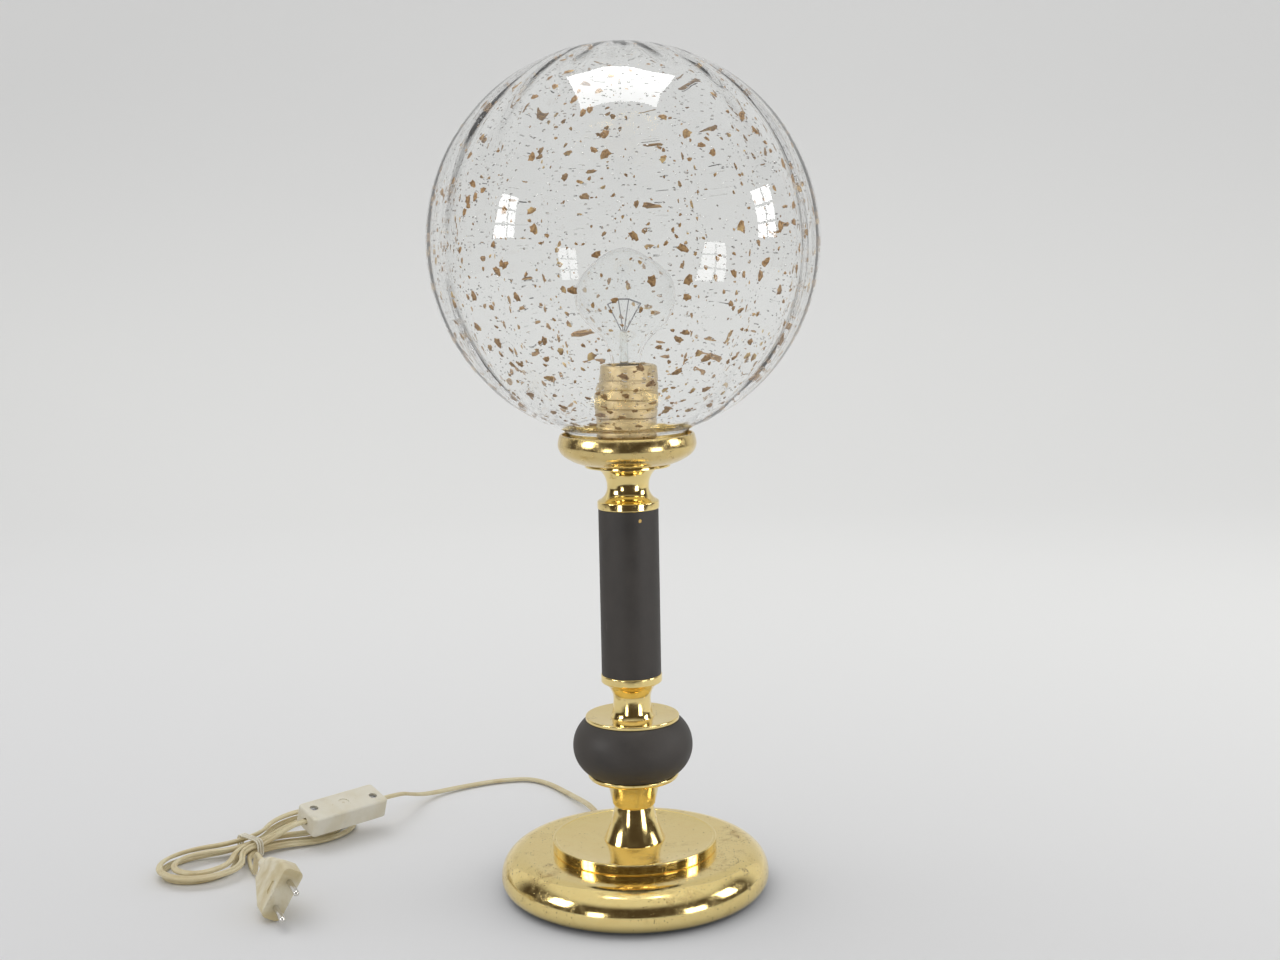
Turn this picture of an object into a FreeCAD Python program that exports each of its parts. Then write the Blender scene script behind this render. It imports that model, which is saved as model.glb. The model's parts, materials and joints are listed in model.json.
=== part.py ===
"""Glass globe table lamp on a turned brass foot, built piece by piece.

Millimetres, +Z up. The origin is the centre of the underside of the base, and
the lamp's axis is +Z. The camera side of the lamp is -Y and its right is +X.
"""
import FreeCAD, Part
import math
import os
from FreeCAD import Placement, Rotation, Vector

# ---------------------------------------------------------------- driving dimensions
# Foot
pad_thickness = 1.5
pad_inset = 2.0
base_radius = 90.0
base_height = 26.5
base_shoulder_radius = 17.0
base_foot_radius = 9.0
base_wall = 1.5
weight_gap = 0.4
weight_recess_radius = 21.0
weight_recess_depth = 20.5
weight_height = 13.5
weight_boss_radius = 27.0
channel_width = 8.4
channel_headroom = 1.0
exit_height = 9.0
exit_azimuth = 103.0

# Turned column, bottom to top
step_radius = 55.0
step_thickness = 7.0
step_rim_width = 2.0
step_dish_depth = 1.6
step_dish_slope = 5.0
bell_foot_radius = 20.0
bell_height = 23.4
bell_waist_radius = 12.8
bell_neck_height = 19.4
cup_hub_radius = 18.2
lower_cup_radius = 30.4
lower_cup_height = 3.8
cup_rim_radius = 31.3
cup_rim_height = 2.7
ball_radius = 40.0
ball_side_radius = 24.0
ball_height = 36.4
cup_dish_depth = 0.8
spindle_height = 29.1
spindle_foot_radius = 14.8
spindle_waist_radius = 12.4
spindle_waist_share = 0.52
ring_height = 5.6
ring_radius = 20.3
tube_radius = 19.8
tube_wall = 1.2
tube_length = 111.0
spigot_height = 6.0
spigot_gap = 0.3
neck_height = 29.2
neck_waist_radius = 13.8
neck_disc_radius = 28.0
neck_disc_thickness = 1.4

# Gallery ring and the globe that stands in it
gallery_height = 20.2
gallery_overhang = 5.8
gallery_foot_step = 1.5
gallery_floor = 1.8
gallery_wall = 1.8
gallery_ledge = 11.5
gallery_seat_height = 8.2
seat_thickness = 2.0
seat_width = 6.5
globe_radius = 126.0
globe_neck_length = 8.7
globe_wall = 2.0
globe_neck_radius = 39.5
globe_gap = 0.3
globe_blend_radius = 5.0

# Threaded rod and its nuts
rod_radius = 5.0
rod_bore_radius = 3.3
rod_hole_gap = 0.25
nut_height = 4.5
nut_across_flats = 17.0
washer_radius = 14.0
washer_thickness = 1.5

# Lampholder
holder_radius = 19.4
holder_wall = 1.0
holder_cap_height = 15.0
holder_cap_foot_radius = 9.0
holder_foot_height = 4.0
holder_height = 57.0
holder_bead = 0.3
holder_bead_height = 2.4
insulator_height = 12.0
insulator_gap = 0.3
liner_radius = 14.6
liner_wall = 0.7
liner_top_gap = 2.5
liner_collar_thickness = 1.2
contact_width = 6.0
contact_rise = 1.6
contact_thickness = 0.6
terminal_radius = 2.6
terminal_height = 3.6
terminal_offset = 9.0

# Bulb
bulb_length = 105.0
bulb_radius = 30.0
bulb_glass_wall = 0.8
bulb_neck_radius = 12.6
bulb_cap_radius = 13.2
bulb_cap_height = 22.0
bulb_cap_wall = 0.4
bulb_collar_height = 4.5
bulb_insulator_height = 3.4
bulb_insulator_radius = 8.5
bulb_contact_radius = 4.6
bulb_contact_height = 1.0
bulb_gap = 0.3
mount_radius = 4.5
mount_height = 20.0
filament_radius = 0.5
filament_span = 26.0
mount_rise = 52.0
filament_rise = 17.0
support_radius = 0.45

# Flex
cord_width = 4.6
cord_gap = 0.25
core_radius = 1.1
flex_joint_inset = 1.0
bush_flange_radius = 6.0
bush_flange_thickness = 2.0
bush_length = 22.0
bush_tip_radius = 3.3
bush_root_radius = 4.6
bush_shank_radius = 3.9
bush_shank_length = 5.0

# Inline switch
switch_length = 64.0
switch_width = 24.0
switch_thickness = 15.0
switch_wall = 2.0
switch_corner = 3.0
switch_edge = 1.6
switch_socket_depth = 4.0
switch_screw_offset = 24.0
switch_screw_skew = 2.6
switch_screw_head_radius = 2.9
switch_screw_radius = 1.5
switch_screw_sink = 1.6
switch_screw_head_height = 1.8
switch_boss_radius = 3.6
switch_dimple_radius = 3.9
switch_dimple_depth = 0.6
rocker_length = 19.0
rocker_width = 11.0
rocker_rise = 0.4
rocker_depth = 7.0
rocker_tilt = 9.0
rocker_end_gap = 1.3
rocker_side_gap = 0.5
rocker_axle_radius = 1.2
rocker_axle_depth = 4.2
rocker_axle_reach = 1.6
rocker_axle_gap = 0.3
terminal_block_length = 7.0
terminal_block_width = 4.0
terminal_block_height = 5.0

# Plug
plug_width = 35.3
plug_thickness = 13.7
plug_shoulder = 14.0
plug_length = 38.0
plug_rear_width = 19.0
plug_rear_thickness = 12.0
plug_corner = 3.6
plug_tail_length = 14.0
plug_tail_root_radius = 4.6
plug_tail_tip_radius = 3.2
plug_pin_radius = 2.0
plug_pin_length = 19.0
plug_pin_spacing = 18.6
plug_pin_root = 12.0
plug_pin_root_radius = 1.6
plug_pin_gap = 0.1
plug_dimple_length = 9.0
plug_dimple_width = 4.4
plug_dimple_depth = 0.7

# Where the pieces on the flex lie
switch_place = Vector(-215.2, 101.0, 21.6)
switch_azimuth = 44.0
switch_roll = 18.0
plug_place = Vector(-227.8, -49.0, 18.0)
plug_azimuth = -64.0
plug_dip = 5.0
plug_roll = 60.0

# Hank: turns that spiral in, climb to a second layer and spiral out
hank_place = Vector(-277.0, 72.0, 0.0)
hank_loops = 3
hank_waist_heading = 48.0
hank_back_heading = 54.0
hank_front_heading = 50.0
hank_back_reach = 60.0
hank_front_reach = 44.0
hank_back_radius = 18.0
hank_front_radius = 15.6
hank_back_pitch = 7.6
hank_front_pitch = 10.0
hank_waist_pitch = 5.8
hank_layer_step = 5.2
hank_waist_lift = 2.0
tie_wraps = 3
tie_wire_radius = 0.7
tie_pitch = 2.0
tie_gap = 0.5

# Route of the flex over the floor, from the bush to the switch
lead_floor_height = cord_width / 2
lead_points = [
    Vector(-46.0, 176.0, lead_floor_height),
    Vector(-77.0, 224.0, lead_floor_height),
    Vector(-108.0, 222.0, lead_floor_height),
    Vector(-140.0, 206.0, lead_floor_height),
    Vector(-163.0, 184.0, 4.5),
    Vector(-172.0, 162.0, 12.0),
]
lead_first_run = 45.0

# Where the flex from the plug comes down to the floor, on its way under the hank
tail_landing = Vector(-268.0, 37.0, cord_width / 2)
tail_landing_heading = 112.0
lead_last_run = 24.0

# ---------------------------------------------------------------- heights that follow
base_bottom = pad_thickness
base_top = base_bottom + base_height
step_top = base_top + step_thickness
bell_bottom = step_top - step_dish_depth
bell_waist = bell_bottom + bell_height
bell_top = bell_waist + bell_neck_height
ball_bottom = bell_top + lower_cup_height
ball_top = ball_bottom + ball_height
upper_cup_top = ball_top + cup_rim_height
spindle_bottom = upper_cup_top - cup_dish_depth
tube_bottom = spindle_bottom + spindle_height
tube_top = tube_bottom + tube_length
gallery_bottom = tube_top + neck_height
gallery_seat = gallery_bottom + gallery_seat_height
gallery_top = gallery_bottom + gallery_height
globe_foot = gallery_seat + seat_thickness + globe_gap
globe_shoulder = globe_foot + globe_neck_length
globe_centre_height = globe_shoulder + math.sqrt(
    (globe_radius + globe_blend_radius) ** 2 - (globe_neck_radius + globe_blend_radius) ** 2)
washer_bottom = gallery_bottom + gallery_floor
holder_bottom = washer_bottom + washer_thickness + nut_height
holder_cap_top = holder_bottom + holder_cap_height
holder_top = holder_bottom + holder_height
insulator_bottom = holder_cap_top - holder_bead_height
liner_bottom = insulator_bottom + insulator_height
bulb_bottom = liner_bottom + contact_rise + contact_thickness + bulb_gap
bulb_top = bulb_bottom + bulb_length
weight_roof = base_bottom + weight_recess_depth
rod_bottom = weight_roof - washer_thickness - nut_height - 2.0
rod_top = holder_bottom + holder_foot_height + holder_wall + 0.4
rod_hole = rod_radius + rod_hole_gap
gallery_radius = globe_neck_radius + gallery_overhang
gallery_lip_radius = gallery_radius - 1.2
gallery_well_radius = globe_neck_radius - gallery_ledge
gallery_foot_radius = gallery_well_radius - gallery_foot_step
cord_radius = cord_width / 2


# ---------------------------------------------------------------- drawing helpers
class Outline:
    """The half section of a turned piece, drawn in the plane of X and Z."""

    def __init__(self, r, z):
        self.first = Vector(r, 0, z)
        self.here = self.first
        self.heading = Vector(1, 0, 0)
        self.edges = []

    def line(self, r, z):
        """Draw a straight edge to (r, z)."""
        there = Vector(r, 0, z)
        self.edges.append(Part.LineSegment(self.here, there).toShape())
        self.heading = (there - self.here).normalize()
        self.here = there
        return self

    def face(self, degrees):
        """Turn to a heading: 0 is outwards and 90 is up."""
        angle = math.radians(degrees)
        self.heading = Vector(math.cos(angle), 0, math.sin(angle))
        return self

    def curve(self, r, z):
        """Draw the arc that leaves along the heading and ends at (r, z)."""
        there = Vector(r, 0, z)
        edge, self.heading = tangent_arc(self.here, self.heading, there)
        self.edges.append(edge)
        self.here = there
        return self

    def turned(self):
        """Close the outline and turn it about the Z axis."""
        if (self.here - self.first).Length > 1e-6:
            self.edges.append(Part.LineSegment(self.here, self.first).toShape())
        face = Part.Face(Part.Wire(self.edges))
        return face.revolve(Vector(0, 0, 0), Vector(0, 0, 1), 360)


def tangent_arc(start, heading, end):
    """Give the arc from start along heading to end, and its last heading."""
    chord = end - start
    along = heading.dot(chord) / chord.Length
    across = heading - chord * (along / chord.Length)
    if across.Length < 1e-6:
        return Part.LineSegment(start, end).toShape(), Vector(heading)
    turn = math.atan2(across.Length, along)
    rise = chord.Length / 2 * math.tan(turn / 2)
    middle = start + chord * 0.5 + across.normalize() * rise
    last = chord * (2 * along / chord.Length) - heading
    return Part.Arc(start, middle, end).toShape(), last.normalize()


def cylinder(radius, bottom, top, x=0.0, y=0.0):
    """Give an upright cylinder between two heights."""
    return Part.makeCylinder(radius, top - bottom, Vector(x, y, bottom))


def bar(radius, start, end):
    """Give a round bar between two points."""
    return Part.makeCylinder(radius, (end - start).Length, start, end - start)


def ring(outer, inner, bottom, top):
    """Give a plain upright ring."""
    return cylinder(outer, bottom, top).cut(cylinder(inner, bottom, top))


def hexagon(across_flats, bottom, top):
    """Give an upright hexagonal prism."""
    corner = across_flats / math.sqrt(3)
    angles = [math.radians(60 * k) for k in range(7)]
    corners = [Vector(corner * math.cos(a), corner * math.sin(a), bottom) for a in angles]
    return Part.Face(Part.makePolygon(corners)).extrude(Vector(0, 0, top - bottom))


def rounded_rectangle(centre, across, up, width, height, corner):
    """Give the wire of a rectangle with round corners, in the plane of across and up."""
    edges = []
    reach_x = width / 2 - corner
    reach_y = height / 2 - corner
    for quarter, (sx, sy) in enumerate(((1, 1), (-1, 1), (-1, -1), (1, -1))):
        middle = centre + across * (sx * reach_x) + up * (sy * reach_y)
        spokes = []
        for step in (0, 0.5, 1):
            angle = math.radians(90 * (quarter + step))
            spokes.append(middle + (across * math.cos(angle) + up * math.sin(angle)) * corner)
        if edges:
            edges.append(Part.LineSegment(last, spokes[0]).toShape())
        else:
            first = spokes[0]
        edges.append(Part.Arc(*spokes).toShape())
        last = spokes[2]
    edges.append(Part.LineSegment(last, first).toShape())
    return Part.Wire(edges)


def rounded_block(length, width, bottom, top, corner):
    """Give a block with round upright corners, centred on the Z axis."""
    centre = Vector(0, 0, bottom)
    outline = rounded_rectangle(centre, Vector(1, 0, 0), Vector(0, 1, 0), length, width, corner)
    return Part.Face(outline).extrude(Vector(0, 0, top - bottom))


def block(length, width, bottom, top, x=0.0, y=0.0):
    """Give a plain block centred on (x, y)."""
    corner = Vector(x - length / 2, y - width / 2, bottom)
    return Part.makeBox(length, width, top - bottom, corner)


# ---------------------------------------------------------------- foot
def base_section(inset):
    """Give the outer line of the base, moved inwards by an inset, from the top."""
    shoulder = base_radius - base_shoulder_radius
    foot = base_radius - base_foot_radius
    outline = Outline(rod_hole, base_top - inset)
    outline.line(shoulder, base_top - inset)
    outline.curve(base_radius - inset, base_top - base_shoulder_radius)
    outline.line(base_radius - inset, base_bottom + base_foot_radius)
    outline.curve(foot, base_bottom + inset)
    return outline


def base_shell():
    """The spun brass cover with its rolled foot and the flex's hole."""
    outer = base_section(0.0)
    foot = base_radius - base_foot_radius
    outer.line(foot, base_bottom + base_wall)
    shoulder = base_radius - base_shoulder_radius
    outer.face(0)
    outer.curve(base_radius - base_wall, base_bottom + base_foot_radius)
    outer.line(base_radius - base_wall, base_top - base_shoulder_radius)
    outer.curve(shoulder, base_top - base_wall)
    outer.line(rod_hole, base_top - base_wall)
    hole = along_exit(bar(bush_shank_radius + cord_gap, Vector(base_radius - 12, 0, 0),
                          Vector(base_radius + 4, 0, 0)))
    return outer.turned().cut(hole)


def base_weight():
    """The cast weight, with a boss, a well for the nut and a channel for the flex."""
    foot = base_radius - base_foot_radius - weight_gap
    ledge = base_bottom + base_wall + weight_gap
    inset = base_wall + weight_gap
    rim = base_bottom + base_foot_radius
    top = base_bottom + weight_height
    outline = Outline(rod_hole, base_top - base_wall)
    outline.line(weight_boss_radius, base_top - base_wall)
    outline.line(weight_boss_radius, top)
    outline.line(base_radius - inset - (top - rim), top)
    outline.line(base_radius - inset, rim)
    outline.face(-90)
    outline.curve(base_radius - base_foot_radius, ledge)
    outline.line(foot, ledge)
    outline.line(foot, base_bottom)
    outline.line(weight_recess_radius, base_bottom)
    outline.line(weight_recess_radius, weight_roof)
    outline.line(rod_hole, weight_roof)
    length = base_radius - weight_recess_radius
    height = exit_height + bush_shank_radius + channel_headroom - base_bottom
    channel = Part.makeBox(length + 4.0, channel_width, height + 1.0,
                           Vector(weight_recess_radius - 4.0, -channel_width / 2, base_bottom - 1.0))
    return outline.turned().cut(turn_to_exit(channel))


def base_pad():
    """The felt ring that the lamp stands on."""
    outer = base_radius - base_foot_radius - pad_inset
    return ring(outer, weight_recess_radius - 2, 0.0, pad_thickness)


def turn_to_exit(shape):
    """Turn a shape drawn along +X to the side where the flex leaves."""
    turned = shape.copy()
    turned.Placement = Placement(Vector(0, 0, 0), Rotation(Vector(0, 0, 1), exit_azimuth))
    return turned


def along_exit(shape):
    """Place a shape drawn along the X axis on the line where the flex leaves."""
    placed = shape.copy()
    turn = Rotation(Vector(0, 0, 1), exit_azimuth)
    placed.Placement = Placement(Vector(0, 0, exit_height), turn)
    return placed


def cord_bush():
    """The tapered bush that carries the flex out of the base."""
    start = base_radius + 0.3
    tip = start + bush_flange_thickness + bush_length
    shank = bar(bush_shank_radius, Vector(start - bush_shank_length, 0, 0), Vector(start, 0, 0))
    flange = bar(bush_flange_radius, Vector(start, 0, 0), Vector(start + bush_flange_thickness, 0, 0))
    sleeve = Part.makeCone(bush_root_radius, bush_tip_radius, bush_length,
                           Vector(start + bush_flange_thickness, 0, 0), Vector(1, 0, 0))
    bore = bar(cord_radius + cord_gap, Vector(start - 12, 0, 0), Vector(tip + 1, 0, 0))
    return along_exit(shank.fuse([flange, sleeve]).removeSplitter().cut(bore))


# ---------------------------------------------------------------- turned column
def step_disc():
    """The disc on the base, dished on top inside a narrow rim."""
    edge = 0.8
    outline = Outline(rod_hole, base_top)
    outline.line(step_radius - edge, base_top)
    outline.curve(step_radius, base_top + edge)
    outline.line(step_radius, step_top - edge)
    outline.curve(step_radius - edge, step_top)
    outline.line(step_radius - step_rim_width, step_top)
    outline.line(step_radius - step_rim_width - 0.5, step_top - 0.4)
    outline.face(180 + step_dish_slope)
    outline.curve(bell_foot_radius + 1.5, bell_bottom)
    outline.line(rod_hole, bell_bottom)
    return outline.turned()


def bell_spindle():
    """The bell over the disc, with a pinched waist and a short neck above it."""
    outline = Outline(rod_hole, bell_bottom)
    outline.line(bell_foot_radius + 0.7, bell_bottom)
    outline.face(110)
    outline.curve(bell_foot_radius, bell_bottom + 1.6)
    outline.face(98)
    outline.curve(bell_waist_radius + 1.3, bell_waist - 4.9)
    outline.curve(bell_waist_radius, bell_waist)
    outline.face(30)
    outline.curve(bell_waist_radius + 1.7, bell_waist + 2.4)
    outline.face(78)
    outline.curve(cup_hub_radius, bell_top)
    outline.line(rod_hole, bell_top)
    return outline.turned()


def lower_cup():
    """The turned plate under the ball, with a rounded foot to its rim."""
    edge = 0.6
    outline = Outline(rod_hole, bell_top)
    outline.line(lower_cup_radius - 2.6, bell_top)
    outline.curve(lower_cup_radius, bell_top + 2.4)
    outline.line(lower_cup_radius, ball_bottom - edge)
    outline.line(lower_cup_radius - edge, ball_bottom)
    outline.line(rod_hole, ball_bottom)
    return outline.turned()


def ball():
    """The dark flattened ball, with flat ends for the cups."""
    half = ball_height / 2
    middle = ball_bottom + half
    reach = ball_radius - ball_side_radius + math.sqrt(ball_side_radius ** 2 - half ** 2)
    outline = Outline(rod_hole, ball_bottom)
    outline.line(reach, ball_bottom)
    edge = Part.Arc(outline.here, Vector(ball_radius, 0, middle), Vector(reach, 0, ball_top))
    outline.edges.append(edge.toShape())
    outline.here = Vector(reach, 0, ball_top)
    outline.line(rod_hole, ball_top)
    return outline.turned()


def upper_cup():
    """The turned plate on the ball, dished on top inside its rim."""
    edge = 0.7
    outline = Outline(rod_hole, ball_top)
    outline.line(cup_rim_radius - edge, ball_top)
    outline.curve(cup_rim_radius, ball_top + edge)
    outline.line(cup_rim_radius, upper_cup_top - edge)
    outline.curve(cup_rim_radius - edge, upper_cup_top)
    outline.line(cup_rim_radius - 1.6, upper_cup_top)
    outline.face(184)
    outline.curve(spindle_foot_radius + 1.0, spindle_bottom)
    outline.line(rod_hole, spindle_bottom)
    return outline.turned()


def middle_spindle():
    """The waisted spindle between the ball and the tube, with its collar."""
    waist = spindle_bottom + (spindle_height - ring_height) * spindle_waist_share
    collar = tube_bottom - ring_height
    outline = Outline(rod_hole, spindle_bottom)
    outline.line(spindle_foot_radius, spindle_bottom)
    outline.face(106)
    outline.curve(spindle_waist_radius, waist)
    outline.face(90)
    outline.curve(ring_radius - 0.8, collar)
    finish_collar(outline, collar, tube_bottom)
    outline.line(tube_radius - tube_wall - spigot_gap, tube_bottom)
    outline.line(tube_radius - tube_wall - spigot_gap, tube_bottom + spigot_height)
    outline.line(rod_hole, tube_bottom + spigot_height)
    return outline.turned()


def finish_collar(outline, bottom, top):
    """Draw a collar's rounded outer edge between two heights, going up."""
    edge = 0.8
    outline.line(ring_radius, bottom + edge)
    outline.line(ring_radius, top - edge)
    outline.curve(ring_radius - edge, top)


def stem_tube():
    """The dark tube between the two collars."""
    return ring(tube_radius, tube_radius - tube_wall, tube_bottom, tube_top)


def upper_neck():
    """The waisted neck over the tube, with a collar below and a disc on top."""
    collar = tube_top + ring_height
    waist = tube_top + neck_height * 0.52
    disc = gallery_bottom - neck_disc_thickness
    spigot = tube_radius - tube_wall - spigot_gap
    outline = Outline(rod_hole, tube_top - spigot_height)
    outline.line(spigot, tube_top - spigot_height)
    outline.line(spigot, tube_top)
    outline.line(ring_radius - 0.8, tube_top)
    outline.curve(ring_radius, tube_top + 0.8)
    outline.line(ring_radius, collar - 0.8)
    outline.line(ring_radius - 0.8, collar)
    outline.face(157)
    outline.curve(neck_waist_radius, waist)
    outline.face(90)
    outline.curve(neck_waist_radius + 2.7, disc - 4.4)
    outline.curve(neck_disc_radius - 6.0, disc)
    outline.line(neck_disc_radius, disc)
    outline.line(neck_disc_radius, gallery_bottom)
    outline.line(rod_hole, gallery_bottom)
    return outline.turned()


# ---------------------------------------------------------------- gallery and globe
def gallery():
    """The round-bellied ring that the globe stands in."""
    belly = gallery_bottom + 0.64 * gallery_height
    outline = Outline(rod_hole, gallery_bottom)
    outline.line(gallery_foot_radius, gallery_bottom)
    outline.face(8)
    outline.curve(gallery_radius - 4.0, gallery_bottom + 0.3 * gallery_height)
    outline.curve(gallery_radius, belly)
    outline.face(90)
    outline.curve(gallery_lip_radius, gallery_top - 0.7)
    outline.line(gallery_lip_radius - 0.6, gallery_top)
    outline.line(gallery_lip_radius - gallery_wall, gallery_top)
    outline.line(gallery_lip_radius - gallery_wall, gallery_seat)
    outline.line(gallery_well_radius + 1.0, gallery_seat)
    outline.line(gallery_well_radius, gallery_bottom + gallery_floor)
    outline.line(rod_hole, gallery_bottom + gallery_floor)
    return outline.turned()


def globe_seat():
    """The soft ring under the globe's neck."""
    outer = globe_neck_radius + 1.5
    return ring(outer, outer - seat_width, gallery_seat, gallery_seat + seat_thickness)


def globe_line(outline, inset, upwards):
    """Draw one skin of the globe, from the foot to the pole or back down."""
    radius = globe_radius - inset
    neck = globe_neck_radius - inset
    blend = globe_blend_radius + inset
    centre = Vector(0, 0, globe_centre_height)
    hub = Vector(neck + blend, 0, globe_shoulder)
    towards = (centre - hub).normalize()
    join = hub + towards * blend
    middle = hub + (towards + Vector(-1, 0, 0)).normalize() * blend
    low = Vector(neck, 0, hub.z)
    side = centre + (Vector(1, 0, 0.2)).normalize() * radius
    pole = Vector(0, 0, globe_centre_height + radius)
    arcs = [Part.Arc(low, middle, join).toShape(), Part.Arc(join, side, pole).toShape()]
    if not upwards:
        arcs = [Part.Arc(pole, side, join).toShape(), Part.Arc(join, middle, low).toShape()]
    outline.edges += arcs
    outline.here = pole if upwards else low
    return outline


def globe():
    """The blown globe, open at its neck, with a melted edge."""
    edge = globe_wall * 0.4
    bore = globe_neck_radius - globe_wall
    outline = Outline(bore + edge, globe_foot)
    outline.line(globe_neck_radius - edge, globe_foot)
    outline.curve(globe_neck_radius, globe_foot + edge)
    outline.line(globe_neck_radius, globe_shoulder)
    globe_line(outline, 0.0, True)
    outline.line(0.0, globe_centre_height + globe_radius - globe_wall)
    globe_line(outline, globe_wall, False)
    outline.line(bore, globe_foot + edge)
    outline.curve(bore + edge, globe_foot)
    return outline.turned()


# ---------------------------------------------------------------- rod and nuts
def threaded_rod():
    """The hollow rod that clamps the whole column."""
    return ring(rod_radius, rod_bore_radius, rod_bottom, rod_top)


def washer(bottom):
    """Give a washer on the rod."""
    return ring(washer_radius, rod_hole, bottom, bottom + washer_thickness)


def nut(bottom):
    """Give a hexagonal nut on the rod, with its corners turned off."""
    top = bottom + nut_height
    prism = hexagon(nut_across_flats, bottom, top)
    corner = nut_across_flats / math.sqrt(3)
    flat = nut_across_flats / 2
    outline = Outline(rod_hole, bottom)
    outline.line(flat, bottom)
    outline.line(corner, bottom + (corner - flat) * 0.6)
    outline.line(corner, top - (corner - flat) * 0.6)
    outline.line(flat, top)
    outline.line(rod_hole, top)
    return prism.common(outline.turned())


# ---------------------------------------------------------------- lampholder
def holder_cap():
    """The lampholder's domed lower half, with its threaded foot."""
    wall = holder_wall
    foot = holder_cap_foot_radius
    outline = Outline(rod_hole, holder_bottom)
    outline.line(foot, holder_bottom)
    outline.line(foot, holder_bottom + holder_foot_height)
    outline.face(0)
    outline.curve(holder_radius, holder_cap_top - holder_bead_height)
    outline.line(holder_radius, holder_cap_top)
    outline.line(holder_radius - wall, holder_cap_top)
    outline.line(holder_radius - wall, holder_cap_top - holder_bead_height)
    outline.face(-90)
    outline.curve(foot, holder_bottom + holder_foot_height + wall)
    outline.line(rod_hole, holder_bottom + holder_foot_height + wall)
    return outline.turned()


def holder_shell():
    """The lampholder's upper sleeve, with a bead at its foot and a turned-in mouth."""
    outer = holder_radius + holder_bead
    inner = holder_radius - holder_wall
    mouth = liner_radius + liner_wall
    outline = Outline(holder_radius, holder_cap_top)
    outline.line(outer, holder_cap_top)
    outline.face(50)
    outline.curve(outer, holder_cap_top + holder_bead_height)
    outline.line(holder_radius, holder_cap_top + holder_bead_height)
    outline.line(holder_radius, holder_top - 1.5)
    outline.curve(holder_radius - 1.5, holder_top)
    outline.line(mouth, holder_top)
    outline.line(mouth, holder_top - holder_wall)
    outline.line(inner, holder_top - holder_wall - 0.6)
    outline.line(inner, holder_cap_top)
    return outline.turned()


def holder_insulator():
    """The porcelain block that holds the contacts, with a socket for the liner."""
    radius = holder_radius - holder_wall - insulator_gap
    body = cylinder(radius, insulator_bottom, liner_bottom)
    holes = [cylinder(1.0, insulator_bottom - 1, liner_bottom + 1, x) for x in (-5.5, 5.5)]
    return body.cut(holes[0]).cut(holes[1])


def holder_liner():
    """The screw liner that takes the bulb's cap, with a collar at its foot."""
    top = holder_top - liner_top_gap
    tube = ring(liner_radius, liner_radius - liner_wall, liner_bottom, top)
    collar_top = liner_bottom + liner_collar_thickness
    collar = ring(liner_radius + 2.0, liner_radius - liner_wall, liner_bottom, collar_top)
    return tube.fuse(collar).removeSplitter()


def holder_contact():
    """The spring tongue under the bulb, riveted to the porcelain."""
    half = contact_width / 2
    length = 2 * (liner_radius - 4.0)
    foot = block(length, contact_width, liner_bottom, liner_bottom + contact_thickness)
    riser = block(contact_thickness, contact_width, liner_bottom, liner_bottom + contact_rise, x=-half)
    rise = liner_bottom + contact_rise
    tongue = block(2 * half, contact_width, rise, rise + contact_thickness)
    return foot.fuse([riser, tongue]).removeSplitter()


def holder_terminals():
    """The two terminals under the porcelain."""
    bottom = insulator_bottom - terminal_height
    return [cylinder(terminal_radius, bottom, insulator_bottom, x)
            for x in (-terminal_offset, terminal_offset)]


# ---------------------------------------------------------------- bulb
def bulb_glass():
    """The clear pear-shaped envelope."""
    outer = bulb_line(0.0)
    inner = bulb_line(bulb_glass_wall)
    return outer.cut(inner)


def bulb_line(inset):
    """Give the solid inside the bulb's outline, moved inwards by an inset."""
    foot = bulb_bottom + bulb_contact_height + bulb_insulator_height + bulb_cap_height - 6.0
    neck = bulb_neck_radius - bulb_gap - bulb_cap_wall - inset
    belly = bulb_bottom + bulb_length - bulb_radius
    swell = 0.45
    start = foot + 9.0
    outline = Outline(0.0, foot - inset)
    outline.line(neck, foot - inset)
    outline.line(neck, start)
    outline.curve(neck + (bulb_radius - inset - neck) * swell, start + (belly - start) * swell)
    outline.curve(bulb_radius - inset, belly)
    outline.face(90)
    outline.curve(0.0, bulb_top - inset)
    return outline.turned()


def bulb_cap():
    """The bulb's brass screw cap, with its collar round the glass."""
    bottom = bulb_bottom + bulb_contact_height + bulb_insulator_height
    top = bottom + bulb_cap_height
    neck = bulb_neck_radius + 0.2
    wall = bulb_cap_wall
    outline = Outline(bulb_insulator_radius, bottom)
    outline.line(bulb_cap_radius, bottom + 2.4)
    outline.line(bulb_cap_radius, top - bulb_collar_height)
    outline.line(neck, top - bulb_collar_height + 1.0)
    outline.line(neck, top)
    outline.line(neck - wall, top)
    outline.line(neck - wall, top - bulb_collar_height + 1.0)
    outline.line(bulb_cap_radius - wall, top - bulb_collar_height)
    outline.line(bulb_cap_radius - wall, bottom + 2.4 + wall)
    outline.line(bulb_insulator_radius, bottom + wall)
    return outline.turned()


def bulb_cap_insulator():
    """The dark glass that closes the cap's end."""
    bottom = bulb_bottom + bulb_contact_height
    top = bottom + bulb_insulator_height - bulb_gap
    outline = Outline(0.0, bottom)
    outline.line(bulb_contact_radius, bottom)
    outline.line(bulb_insulator_radius, top)
    outline.line(0.0, top)
    return outline.turned()


def bulb_contact():
    """The solder contact at the bulb's end."""
    outline = Outline(0.0, bulb_bottom)
    outline.line(bulb_contact_radius * 0.6, bulb_bottom)
    outline.curve(bulb_contact_radius, bulb_bottom + bulb_contact_height)
    outline.line(0.0, bulb_bottom + bulb_contact_height)
    return outline.turned()


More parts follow.
